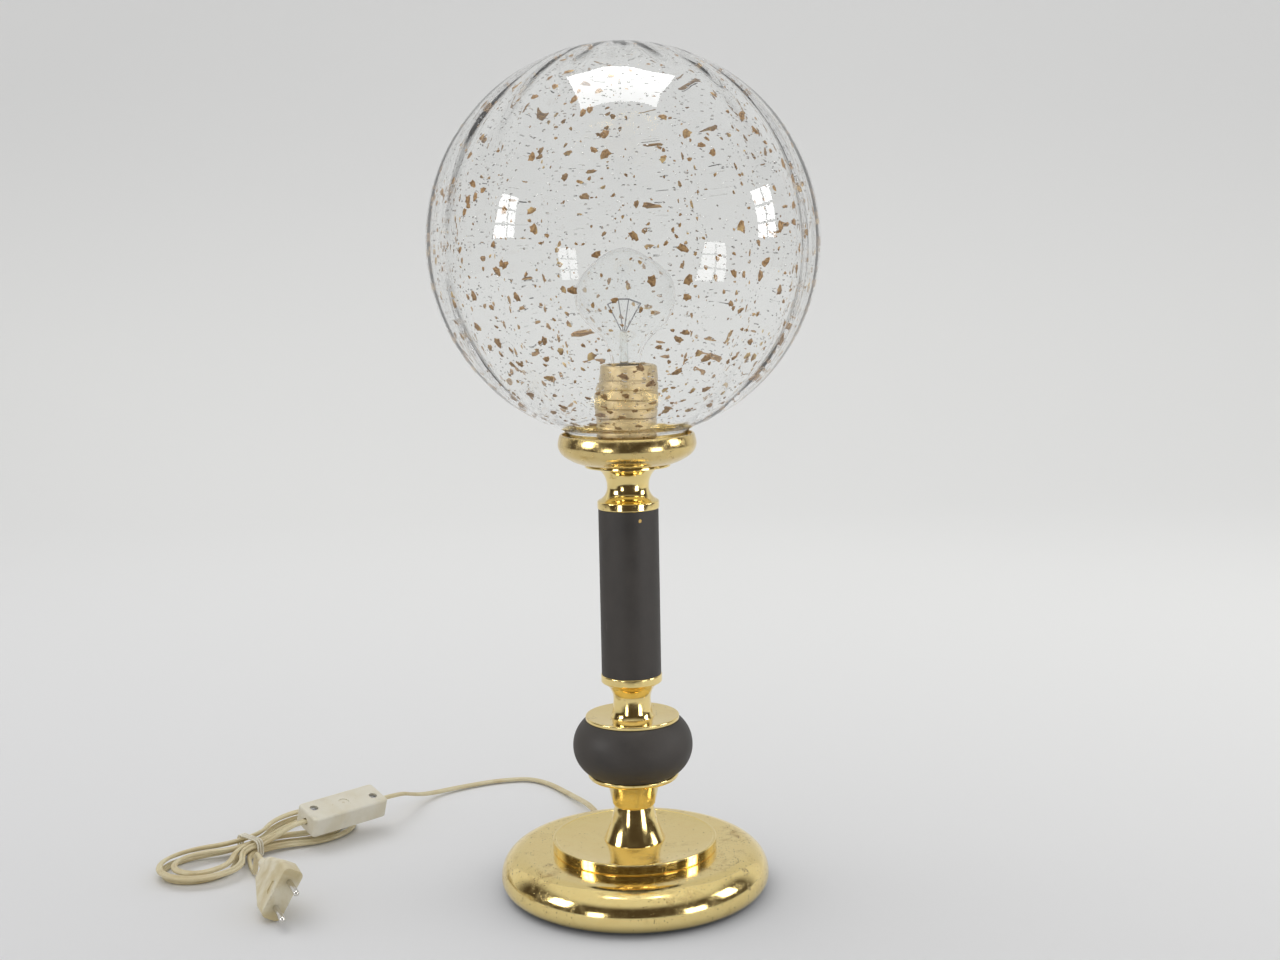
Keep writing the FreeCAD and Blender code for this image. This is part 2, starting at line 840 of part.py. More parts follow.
def bulb_mount():
    """The glass stem inside the bulb, standing on the cap's insulator."""
    bottom = bulb_bottom + bulb_contact_height + bulb_insulator_height
    top = bulb_bottom + mount_rise
    outline = Outline(0.0, bottom)
    outline.line(mount_radius * 1.5, bottom)
    outline.face(115)
    outline.curve(mount_radius, bottom + mount_height * 0.6)
    outline.line(mount_radius * 0.6, top)
    outline.line(0.0, top)
    return outline.turned()


def bulb_filament():
    """The filament, its two lead wires and its two hooks, as one loom."""
    top = bulb_bottom + mount_rise
    span = filament_span / 2
    height = top + filament_rise
    foot = Vector(0, 0, top - 3.0)
    points = [Vector(-span, 0, height), Vector(-span / 3, 3, height + 3),
              Vector(span / 3, 3, height + 3), Vector(span, 0, height)]
    pieces = [bar(support_radius, foot, point) for point in points]
    pieces += [bar(filament_radius, a, b) for a, b in zip(points, points[1:])]
    pieces += [Part.makeSphere(filament_radius, point) for point in points]
    loom = pieces[0].fuse(pieces[1:])
    return loom.cut(bulb_mount())


# ---------------------------------------------------------------- flex
def route_wire(points, label):
    """Join straight runs with tangent arcs as large as the runs allow."""
    edges = []
    here = points[0]
    smallest = None
    for before, corner, after in zip(points, points[1:], points[2:]):
        run_in = corner - before
        run_out = after - corner
        turn = run_in.getAngle(run_out)
        trim = 0.45 * min(run_in.Length, run_out.Length)
        radius = trim / math.tan(turn / 2)
        heading = run_in.normalize()
        start = corner - heading * trim
        end = corner + run_out.normalize() * trim
        edges.append(Part.LineSegment(here, start).toShape())
        arc, _ = tangent_arc(start, heading, end)
        edges.append(arc)
        here = end
        smallest = radius if smallest is None else min(smallest, radius)
    edges.append(Part.LineSegment(here, points[-1]).toShape())
    print(label, "smallest radius", round(smallest, 1))
    return Part.Wire(edges)


def biarc(start, heading, end, last_heading):
    """Join two points and headings with two tangent arcs."""
    gap = end - start
    both = heading + last_heading
    closing = 2 * (1 - heading.dot(last_heading))
    if closing < 1e-9:
        reach = gap.dot(gap) / (2 * gap.dot(both))
    else:
        along = gap.dot(both)
        reach = (math.sqrt(along ** 2 + closing * gap.dot(gap)) - along) / closing
    joint = (start + heading * reach + end - last_heading * reach) * 0.5
    first, middle_heading = tangent_arc(start, heading, joint)
    second, _ = tangent_arc(joint, middle_heading, end)
    return [first, second]


def tube_along(wire, label):
    """Sweep the flex's round section along a wire, and compare the volume."""
    start = wire.Edges[0].firstVertex(True).Point
    heading = wire.Edges[0].tangentAt(wire.Edges[0].FirstParameter)
    section = Part.Wire(Part.makeCircle(cord_radius, start, heading))
    solid = wire.makePipeShell([section], True, False)
    expected = math.pi * cord_radius ** 2 * wire.Length
    print(label, "length", round(wire.Length, 1), "volume ratio", round(solid.Volume / expected, 4))
    return solid


def flat_heading(degrees):
    """Give the level unit vector of a heading."""
    angle = math.radians(degrees)
    return Vector(math.cos(angle), math.sin(angle), 0)


def right_of(heading):
    """Give the level unit vector to the right of a level heading."""
    return Vector(heading.y, -heading.x, 0)


def exit_point(reach):
    """Give a point on the line along which the flex leaves the base."""
    return flat_heading(exit_azimuth) * reach + Vector(0, 0, exit_height)


def inner_cord():
    """The flex inside the lamp: along the channel, up the rod and split to the terminals."""
    low = exit_height - 4.0
    mouth = rod_bottom - low
    tip = Vector(0, 0, rod_top + 3.0)
    points = [exit_point(base_radius - flex_joint_inset), exit_point(base_radius - 10.0),
              flat_heading(exit_azimuth) * (mouth / 0.45) + Vector(0, 0, low), Vector(0, 0, low), tip]
    flex = tube_along(route_wire(points, "inner_cord"), "inner_cord")
    bars = []
    fork = tip - Vector(0, 0, core_radius + 0.2)
    for x in (-terminal_offset, terminal_offset):
        knee = Vector(x, 0, fork.z)
        bars.append(bar(core_radius, fork, knee))
        end = Vector(x, 0, insulator_bottom - terminal_height)
        bars.append(bar(core_radius * 0.8, knee - Vector(0, 0, 0.4), end))
    return flex.fuse(bars)


def cord_lead():
    """The flex over the floor, from the bush to the switch."""
    start_reach = base_radius - flex_joint_inset
    ends = [exit_point(start_reach), exit_point(start_reach + lead_first_run)]
    socket = switch_length / 2 - switch_socket_depth
    end = switch_to_lamp(Vector(socket, 0, 0))
    before = switch_to_lamp(Vector(socket + lead_last_run, 0, 0))
    wire = route_wire(ends + lead_points + [before, end], "cord_lead")
    return tube_along(wire, "cord_lead")


# ---------------------------------------------------------------- hank
def hank_depth(run):
    """Count how many turns out from the innermost run a run lies."""
    return abs(run - hank_loops) / 2


def hank_side(run):
    """Give 1 for the runs on the hank's right and -1 for those on its left."""
    return 1 if run % 2 == 0 else -1


def hank_height(run, share):
    """Give the height of a run, where share is how much of it has gone by."""
    climbed = share if run == hank_loops else float(run > hank_loops)
    return cord_radius + climbed * hank_layer_step


def hank_waist(run):
    """Give the point and heading at which a run passes the waist."""
    heading = flat_heading(hank_waist_heading)
    side = hank_side(run)
    shift = hank_side(hank_loops) * hank_waist_pitch / 4
    across = side * hank_waist_pitch * (0.25 + hank_depth(run)) + shift
    height = hank_height(run, 0.5) + hank_waist_lift
    point = hank_place + right_of(heading) * across + Vector(0, 0, height)
    return point, heading * side


def hank_end(run, back):
    """Give the point and heading where a run meets the half turn at one end."""
    side = hank_side(run)
    if back:
        heading, reach = flat_heading(hank_back_heading), hank_back_reach
        radius = hank_back_radius + hank_depth(run) * hank_back_pitch
    else:
        heading, reach = flat_heading(hank_front_heading), -hank_front_reach
        radius = hank_front_radius + hank_depth(run) * hank_front_pitch
    share = float(back == (side > 0))
    rise = Vector(0, 0, hank_height(run, share))
    return hank_place + heading * reach + right_of(heading) * (side * radius) + rise, heading * side


def half_turn(start, heading, end):
    """Give the half circle that leaves start along heading and comes back at end."""
    middle = (start + end) * 0.5 + heading * ((end - start).Length / 2)
    return Part.Arc(start, middle, end).toShape()


def hank_wire():
    """Follow the flex through the hank, from waist to waist."""
    edges = []
    last_run = 2 * hank_loops
    for run in range(last_run + 1):
        back_first = hank_side(run) < 0
        start, start_heading = hank_end(run, back_first)
        waist, waist_heading = hank_waist(run)
        end, end_heading = hank_end(run, not back_first)
        if run > 0:
            edges += biarc(start, start_heading, waist, waist_heading)
        if run < last_run:
            edges += biarc(waist, waist_heading, end, end_heading)
            next_start, _ = hank_end(run + 1, not back_first)
            edges.append(half_turn(end, end_heading, next_start))
    return Part.Wire(edges)


def points_along(wire, spacing):
    """Give points along a wire, each with its distance from the wire's start."""
    found = []
    gone = 0.0
    for edge in wire.Edges:
        count = max(2, int(edge.Length / spacing))
        for point in edge.discretize(count + 1)[:-1]:
            step = (point - found[-1][1]).Length if found else 0.0
            gone += step
            found.append((gone, point))
    return found


def least_gap(wire):
    """Measure how near the flex comes to itself, beyond a half turn along it."""
    points = points_along(wire, 2.0)
    skip = math.pi * hank_front_radius
    nearest = min((a - b).Length for i, (s, a) in enumerate(points)
                  for t, b in points[i + 1:] if t - s > skip)
    return nearest - cord_width


def smallest_radius(wire):
    """Give the smallest radius among a wire's arcs."""
    return min(edge.Curve.Radius for edge in wire.Edges if hasattr(edge.Curve, "Radius"))


def cord_hank():
    """The bundle of turns, as one unbroken tube."""
    wire = hank_wire()
    print("cord_hank smallest radius", round(smallest_radius(wire), 1),
          "least gap to itself", round(least_gap(wire), 2))
    return tube_along(wire, "cord_hank")


def cord_link():
    """The flex from the hank's waist up to the switch."""
    start, heading = hank_waist(2 * hank_loops)
    along = switch_to_lamp(Vector(1, 0, 0)) - switch_place
    socket = switch_length / 2 - switch_socket_depth
    end = switch_to_lamp(Vector(-socket, 0, 0))
    bend_end = end - along * (switch_socket_depth + 1.0)
    wire = Part.Wire(biarc(start, heading, bend_end, along) + [Part.LineSegment(bend_end, end).toShape()])
    print("cord_link smallest radius", round(smallest_radius(wire), 1))
    return tube_along(wire, "cord_link")


def cord_tail():
    """The flex from the plug to the hank's waist."""
    tip = plug_to_lamp(Vector(-plug_length - plug_tail_length, 0, 0))
    away = plug_place - plug_to_lamp(Vector(1, 0, 0))
    bend_start = tip + away * cord_width
    landing_heading = flat_heading(tail_landing_heading)
    end, heading = hank_waist(0)
    edges = [Part.LineSegment(tip, bend_start).toShape()]
    edges += biarc(bend_start, away, tail_landing, landing_heading)
    edges += biarc(tail_landing, landing_heading, end, heading)
    wire = Part.Wire(edges)
    print("cord_tail smallest radius", round(smallest_radius(wire), 1))
    return tube_along(wire, "cord_tail")


def hank_tie():
    """The thin wire wrapped round the hank's waist, one ring a turn."""
    heading = flat_heading(hank_waist_heading)
    across = right_of(heading)
    outermost, _ = hank_waist(0)
    highest, _ = hank_waist(2 * hank_loops)
    reach = abs((outermost - hank_place).dot(across)) + cord_radius + tie_gap + tie_wire_radius
    low = outermost.z - cord_radius - tie_gap - tie_wire_radius
    high = highest.z + cord_radius + tie_gap + tie_wire_radius
    corner = cord_radius + tie_gap + tie_wire_radius
    rings = []
    for wrap in range(tie_wraps):
        along = heading * ((wrap - (tie_wraps - 1) / 2) * tie_pitch)
        centre = hank_place + along + Vector(0, 0, (low + high) / 2)
        path = rounded_rectangle(centre, across, Vector(0, 0, 1), 2 * reach, high - low, corner)
        start = path.Edges[0].valueAt(path.Edges[0].FirstParameter)
        tangent = path.Edges[0].tangentAt(path.Edges[0].FirstParameter)
        section = Part.Wire(Part.makeCircle(tie_wire_radius, start, tangent))
        rings.append(path.makePipeShell([section], True, False))
    return rings


# ---------------------------------------------------------------- inline switch
def switch_placement():
    """Give the placement that lays the switch on the hank."""
    turn = Rotation(Vector(0, 0, 1), switch_azimuth).multiply(Rotation(Vector(1, 0, 0), switch_roll))
    return Placement(switch_place, turn)


def switch_to_lamp(point):
    """Carry a point from the switch's own frame to the lamp's."""
    return switch_placement().multVec(point)


def laid(shape, placement):
    """Give a shape, or each of a list of shapes, at a placement."""
    if isinstance(shape, list):
        return [laid(each, placement) for each in shape]
    moved = shape.copy()
    moved.Placement = placement.multiply(moved.Placement)
    return moved


def switch_screw_places():
    """Give where the two screws stand, one on each side of the long axis."""
    return [(-switch_screw_offset, switch_screw_skew), (switch_screw_offset, -switch_screw_skew)]


def switch_case_half(upper):
    """Give one half of the switch's case, hollow, with its screw posts."""
    half = switch_thickness / 2
    side = 1 if upper else -1
    face = side * half
    floor = side * (half - switch_wall)
    body = rounded_block(switch_length, switch_width, min(0.0, face), max(0.0, face), switch_corner)
    body = body.makeFillet(switch_edge, level_edges(body, face))
    inner_length = switch_length - 2 * switch_wall
    inner_width = switch_width - 2 * switch_wall
    inner_corner = switch_corner - switch_wall * 0.5
    hollow = rounded_block(inner_length, inner_width, min(-side, floor), max(-side, floor), inner_corner)
    body = body.cut(hollow)
    low, high = min(0.0, floor), max(0.0, floor)
    posts = [cylinder(switch_boss_radius, low, high, x, y) for x, y in switch_screw_places()]
    body = body.fuse(posts).removeSplitter()
    bore = bar(cord_radius + cord_gap, Vector(-switch_length, 0, 0), Vector(switch_length, 0, 0))
    keep = block(2 * (switch_length / 2 - switch_socket_depth), switch_width, -half, half)
    return body.cut(bore.cut(keep))


def level_edges(shape, height):
    """Find the edges that lie level at a height."""
    return [edge for edge in shape.Edges
            if abs(edge.BoundBox.ZMin - height) < 1e-4 and abs(edge.BoundBox.ZMax - height) < 1e-4]


def switch_back():
    """The half of the case that shows, with two sunk screw holes and a round dimple."""
    body = switch_case_half(True)
    half = switch_thickness / 2
    head_bottom = half - switch_screw_sink - switch_screw_head_height
    for x, y in switch_screw_places():
        body = body.cut(cylinder(switch_screw_head_radius + 0.2, head_bottom, half + 1, x, y))
        body = body.cut(cylinder(switch_screw_radius + 0.2, -1, half, x, y))
    return body.cut(cylinder(switch_dimple_radius, half - switch_dimple_depth, half + 1))


def switch_front():
    """The half of the case with the rocker's window and the ears for its axle."""
    body = switch_case_half(False)
    half = switch_thickness / 2
    floor = switch_wall - half
    axle = rocker_axle_depth - half
    ear_y = rocker_width / 2 + rocker_side_gap + rocker_axle_reach / 2
    ear_top = axle + 2 * rocker_axle_radius
    ears = [block(4 * rocker_axle_radius, rocker_axle_reach, floor, ear_top, y=y) for y in (-ear_y, ear_y)]
    body = body.fuse(ears).removeSplitter()
    window = block(rocker_length + 2 * rocker_end_gap, rocker_width + 2 * rocker_side_gap,
                   -half - 1, floor + 0.01)
    body = body.cut(window)
    reach = rocker_width / 2 + rocker_side_gap + rocker_axle_reach
    bore_radius = rocker_axle_radius + rocker_axle_gap
    body = body.cut(bar(bore_radius, Vector(0, -reach, axle), Vector(0, reach, axle)))
    for x, y in switch_screw_places():
        body = body.cut(cylinder(switch_screw_radius + 0.05, floor, 1, x, y))
    return body


def rocker():
    """The rocker with its two stub axles, tipped to its off side."""
    half = switch_thickness / 2
    axle = rocker_axle_depth - half
    face = -half - rocker_rise
    reach = rocker_length / 2
    corners = [(-reach, face), (0, face + 0.9), (reach, face), (reach, face + rocker_depth - 1.2),
               (reach - 2.0, face + rocker_depth), (2.0 - reach, face + rocker_depth),
               (-reach, face + rocker_depth - 1.2), (-reach, face)]
    outline = Part.makePolygon([Vector(x, -rocker_width / 2, z) for x, z in corners])
    body = Part.Face(outline).extrude(Vector(0, rocker_width, 0))
    stub = rocker_width / 2 + rocker_side_gap + rocker_axle_reach * 0.8
    body = body.fuse(bar(rocker_axle_radius, Vector(0, -stub, axle), Vector(0, stub, axle)))
    tipped = body.copy()
    tipped.rotate(Vector(0, 0, axle), Vector(0, 1, 0), rocker_tilt)
    return tipped


def switch_screws():
    """The two slotted screws that hold the case together."""
    half = switch_thickness / 2
    top = half - switch_screw_sink
    bottom = top - switch_screw_head_height
    screws = []
    for x, y in switch_screw_places():
        head = cylinder(switch_screw_head_radius, bottom, top, x, y)
        shank = cylinder(switch_screw_radius, switch_wall - half, bottom, x, y)
        slot = block(2 * switch_screw_head_radius + 1, 0.8, top - 0.7, top + 1, x, y)
        screws.append(head.fuse(shank).removeSplitter().cut(slot))
    return screws


def switch_terminals():
    """The four brass terminal blocks on the floor of the case."""
    floor = switch_wall - switch_thickness / 2
    x = rocker_length / 2 + rocker_end_gap + terminal_block_length / 2 + 0.4
    y = terminal_block_width / 2 + 2.6
    top = floor + terminal_block_height
    return [block(terminal_block_length, terminal_block_width, floor, top, sx * x, sy * y)
            for sx in (-1, 1) for sy in (-1, 1)]


def cord_grips():
    """The two bars that press the flex down at the ends of the switch."""
    ceiling = switch_thickness / 2 - switch_wall
    length = switch_socket_depth - switch_wall
    x = switch_length / 2 - switch_wall - length / 2
    width = switch_width - 2 * switch_wall - 6.0
    return [block(length, width, cord_radius + 0.05, ceiling, sx * x) for sx in (-1, 1)]


# ---------------------------------------------------------------- plug
def plug_placement():
    """Give the placement that leans the plug on the hank, pins forward."""
    turn = Rotation(Vector(0, 0, 1), plug_azimuth).multiply(Rotation(Vector(0, 1, 0), plug_dip))
    turn = turn.multiply(Rotation(Vector(1, 0, 0), plug_roll))
    return Placement(plug_place, turn)


def plug_to_lamp(point):
    """Carry a point from the plug's own frame to the lamp's."""
    return plug_placement().multVec(point)


def plug_body():
    """The flat moulded plug with its tapered tail and the oval finger hollow."""
    across, up = Vector(0, 1, 0), Vector(0, 0, 1)
    wide, thick, corner = plug_width, plug_thickness, plug_corner
    front = rounded_rectangle(Vector(0, 0, 0), across, up, wide, thick, corner)
    waist = rounded_rectangle(Vector(-plug_shoulder, 0, 0), across, up, wide, thick, corner)
    rear = rounded_rectangle(Vector(-plug_length, 0, 0), across, up,
                             plug_rear_width, plug_rear_thickness, plug_corner)
    body = Part.makeLoft([front, waist, rear], True, True)
    tail = Part.makeCone(plug_tail_root_radius, plug_tail_tip_radius, plug_tail_length,
                         Vector(-plug_length, 0, 0), Vector(-1, 0, 0))
    body = body.fuse(tail)
    side = plug_pin_spacing / 2
    for y in (-side, side):
        hole_start = Vector(-plug_pin_root, y, 0)
        body = body.cut(bar(plug_pin_root_radius + plug_pin_gap, hole_start, Vector(1, y, 0)))
    face = plug_thickness / 2
    middle = -plug_shoulder / 2
    half = (plug_dimple_length - plug_dimple_width) / 2
    for y in (-half, half):
        body = body.cut(cylinder(plug_dimple_width / 2, face - plug_dimple_depth, face + 1, middle, y))
    return body.cut(block(plug_dimple_width, 2 * half, face - plug_dimple_depth, face + 1, middle))


def plug_pins():
    """The two round pins with rounded tips."""
    side = plug_pin_spacing / 2
    pins = []
    for y in (-side, side):
        crown = Vector(plug_pin_length - plug_pin_radius, y, 0)
        root = bar(plug_pin_root_radius, Vector(-plug_pin_root, y, 0), Vector(0, y, 0))
        shank = bar(plug_pin_radius, Vector(0, y, 0), crown)
        tip = Part.makeSphere(plug_pin_radius, crown)
        pins.append(shank.fuse([root, tip]).removeSplitter())
    return pins


# ---------------------------------------------------------------- the whole lamp
def build():
    """Give every node of the lamp by name."""
    on_switch = switch_placement()
    on_plug = plug_placement()
    return {
        "base_pad": base_pad(),
        "base_weight": base_weight(),
        "base_shell": base_shell(),
        "base_washer": washer(weight_roof - washer_thickness),
        "base_nut": nut(weight_roof - washer_thickness - nut_height),
        "cord_bush": cord_bush(),
        "step_disc": step_disc(),
        "bell_spindle": bell_spindle(),
        "lower_cup": lower_cup(),
        "ball": ball(),
        "upper_cup": upper_cup(),
        "middle_spindle": middle_spindle(),
        "stem_tube": stem_tube(),
        "upper_neck": upper_neck(),
        "threaded_rod": threaded_rod(),
        "gallery": gallery(),
        "gallery_washer": washer(washer_bottom),
        "gallery_nut": nut(washer_bottom + washer_thickness),
        "globe_seat": globe_seat(),
        "globe": globe(),
        "holder_cap": holder_cap(),
        "holder_shell": holder_shell(),
        "holder_insulator": holder_insulator(),
        "holder_liner": holder_liner(),
        "holder_contact": holder_contact(),
        "holder_terminals": holder_terminals(),
        "bulb_glass": bulb_glass(),
        "bulb_cap": bulb_cap(),
        "bulb_cap_insulator": bulb_cap_insulator(),
        "bulb_contact": bulb_contact(),
        "bulb_mount": bulb_mount(),
        "bulb_filament": bulb_filament(),
        "inner_cord": inner_cord(),
        "cord_lead": cord_lead(),
        "cord_link": cord_link(),
        "cord_hank": cord_hank(),
        "cord_tail": cord_tail(),
        "hank_tie": hank_tie(),
        "switch_back": laid(switch_back(), on_switch),
        "switch_front": laid(switch_front(), on_switch),
        "switch_rocker": laid(rocker(), on_switch),
        "switch_screws": laid(switch_screws(), on_switch),
        "switch_terminals": laid(switch_terminals(), on_switch),
        "switch_cord_grips": laid(cord_grips(), on_switch),
        "plug_body": laid(plug_body(), on_plug),
        "plug_pins": laid(plug_pins(), on_plug),
    }


def say(name, vector):
    """Print a named vector in millimetres."""
    print(name, [round(value, 4) for value in vector])


os.makedirs("parts", exist_ok=True)
for node, shape in build().items():
    solids = shape if isinstance(shape, list) else [shape]
    whole = Part.makeCompound(solids) if len(solids) > 1 else solids[0]
    box = whole.BoundBox
    print(f"{node:20s} solids {len(whole.Solids)} valid {whole.isValid()} volume {whole.Volume:10.1f}"
          f" z {box.ZMin:7.2f} to {box.ZMax:7.2f}")
    whole.exportStep(f"parts/{node}.step")

axle_height = rocker_axle_depth - switch_thickness / 2
say("rocker axle point", switch_to_lamp(Vector(0, 0, axle_height)))
say("rocker axle axis", switch_to_lamp(Vector(0, 1, 0)) - switch_place)
for pin, offset in (("a", -plug_pin_spacing / 2), ("b", plug_pin_spacing / 2)):
    middle = (plug_pin_length - plug_pin_radius) / 2
    say("plug pin " + pin, plug_to_lamp(Vector(middle, offset, 0)))
say("plug pin axis", plug_to_lamp(Vector(1, 0, 0)) - plug_place)
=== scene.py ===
"""Glass globe table lamp: the looks of its pieces, its light and its camera.

Metres, +Z up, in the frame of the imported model. The turned pieces are drawn as
half outlines in millimetres and spun; the flaked globe, the flex and the bulb's
thread are built by rule. Every material is made of nodes.
"""
from __future__ import annotations

import cmath
import json
import logging
import math
from dataclasses import dataclass
from enum import Enum
from typing import Any, Callable, Iterable, Sequence

import bmesh
import bpy
from mathutils import Matrix, Vector

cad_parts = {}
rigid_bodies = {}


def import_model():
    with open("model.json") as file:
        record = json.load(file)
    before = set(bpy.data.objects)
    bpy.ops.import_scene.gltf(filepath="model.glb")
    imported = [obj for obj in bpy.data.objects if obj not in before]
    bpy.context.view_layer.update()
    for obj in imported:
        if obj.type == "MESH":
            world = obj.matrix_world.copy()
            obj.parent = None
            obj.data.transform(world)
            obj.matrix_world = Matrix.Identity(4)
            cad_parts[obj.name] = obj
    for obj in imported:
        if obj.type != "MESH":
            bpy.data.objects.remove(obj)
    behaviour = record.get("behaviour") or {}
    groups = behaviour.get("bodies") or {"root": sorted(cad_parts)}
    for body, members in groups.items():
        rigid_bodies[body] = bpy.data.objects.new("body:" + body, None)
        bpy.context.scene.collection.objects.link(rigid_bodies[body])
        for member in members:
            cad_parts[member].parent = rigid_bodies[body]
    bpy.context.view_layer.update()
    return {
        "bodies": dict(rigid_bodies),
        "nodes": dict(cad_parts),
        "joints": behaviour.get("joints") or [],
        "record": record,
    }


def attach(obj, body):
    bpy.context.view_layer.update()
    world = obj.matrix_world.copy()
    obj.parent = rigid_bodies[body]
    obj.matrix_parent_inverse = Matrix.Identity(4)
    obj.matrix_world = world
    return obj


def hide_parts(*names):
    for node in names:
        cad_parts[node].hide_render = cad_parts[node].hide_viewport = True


LOG = logging.getLogger("lamp")
MM = 0.001
SEED = 7

# A point of an outline this near to the axis, in millimetres, lies on it.
ON_AXIS = 1e-6

Socket = bpy.types.NodeSocket
Material = bpy.types.Material
Thing = bpy.types.Object
Point = tuple[float, float]
Place = tuple[float, float, float]
Colour = tuple[float, float, float, float]
Shift = Callable[[float, float, float], float]

# Stains: each one's place and reach, in millimetres.
Mark = tuple[float, float, float, float]
BASE_MARKS = ((-56.5, -32.8, 28.0, 7.5), (-77.1, -7.5, 27.0, 2.2), (-68.0, -14.3, 28.0, 2.0),
              (-75.5, -34.5, 24.5, 2.6), (72.0, -42.0, 25.0, 8.5), (73.5, -51.0, 17.0, 6.5),
              (67.2, -34.6, 28.0, 3.0), (62.0, -50.0, 25.0, 4.0), (-60.0, 38.0, 28.0, 3.0),
              (52.0, 52.0, 28.0, 4.0))
DISC_MARKS = ((-21.2, -17.2, 34.0, 3.4), (-27.7, 13.5, 34.0, 2.0), (21.0, -16.0, 34.0, 2.6),
              (40.0, 12.0, 34.0, 1.6))
SWITCH_MARKS = ((-213.6, 99.3, 28.7, 3.6), (-220.8, 92.4, 28.7, 1.6), (-206.4, 106.2, 28.7, 1.6),
                (-208.6, 99.0, 28.0, 1.4))


class Body(str, Enum):
    """The bodies that the remade pieces ride on."""

    LAMP = "lamp"
    GLOBE = "globe"
    BULB = "bulb"


# ---------------------------------------------------------------- materials
class Graph:
    """A node tree, with short calls for the nodes it uses."""

    def __init__(self, tree: bpy.types.NodeTree) -> None:
        """Take a tree and empty it."""
        self.tree = tree
        self.tree.nodes.clear()

    def feed(self, socket: Socket, value: Any) -> None:
        """Link or set one input.

        Args:
            socket: the input.
            value: another node's output, or the input's own value.
        """
        if isinstance(value, Socket):
            self.tree.links.new(value, socket)
        else:
            socket.default_value = value

    def add(self, kind: str, inputs: dict[Any, Any] | None = None, **settings: Any) -> bpy.types.Node:
        """Add a node.

        Args:
            kind: the node's type.
            inputs: inputs by name or number.
            **settings: the node's own properties.

        Returns:
            The node.
        """
        node = self.tree.nodes.new(kind)
        for key, value in settings.items():
            setattr(node, key, value)
        for key, value in (inputs or {}).items():
            self.feed(node.inputs[key], value)
        return node

    def span(self, value: Any, low: float, high: float, start: float = 0.0, end: float = 1.0,
             ease: str = "SMOOTHSTEP") -> Socket:
        """Carry a value from one span to another.

        Args:
            value: the value.
            low: where the span starts.
            high: where the span ends.
            start: the result at low.
            end: the result at high.
            ease: the interpolation.

        Returns:
            The result output.
        """
        node = self.add("ShaderNodeMapRange", {"Value": value, "From Min": low, "From Max": high,
                                               "To Min": start, "To Max": end},
                        interpolation_type=ease)
        return node.outputs["Result"]

    def math(self, operation: str, first: Any, second: Any = 0.0) -> Socket:
        """Work out a sum."""
        return self.add("ShaderNodeMath", {0: first, 1: second}, operation=operation).outputs[0]

    def times(self, first: Any, *others: Any) -> Socket:
        """Multiply values.

        Args:
            first: the first value.
            *others: the values after it.

        Returns:
            The product's output.
        """
        for other in others:
            first = self.math("MULTIPLY", first, other)
        return first

    def blend(self, share: Any, first: Any, second: Any) -> Socket:
        """Mix two colours: the node's inputs 6 and 7, by the share in its input 0."""
        return self.add("ShaderNodeMix", {0: share, 6: first, 7: second}, data_type="RGBA").outputs[2]

    def split(self, vector: Socket) -> Any:
        """Give a vector's three parts."""
        return self.add("ShaderNodeSeparateXYZ", {0: vector}).outputs


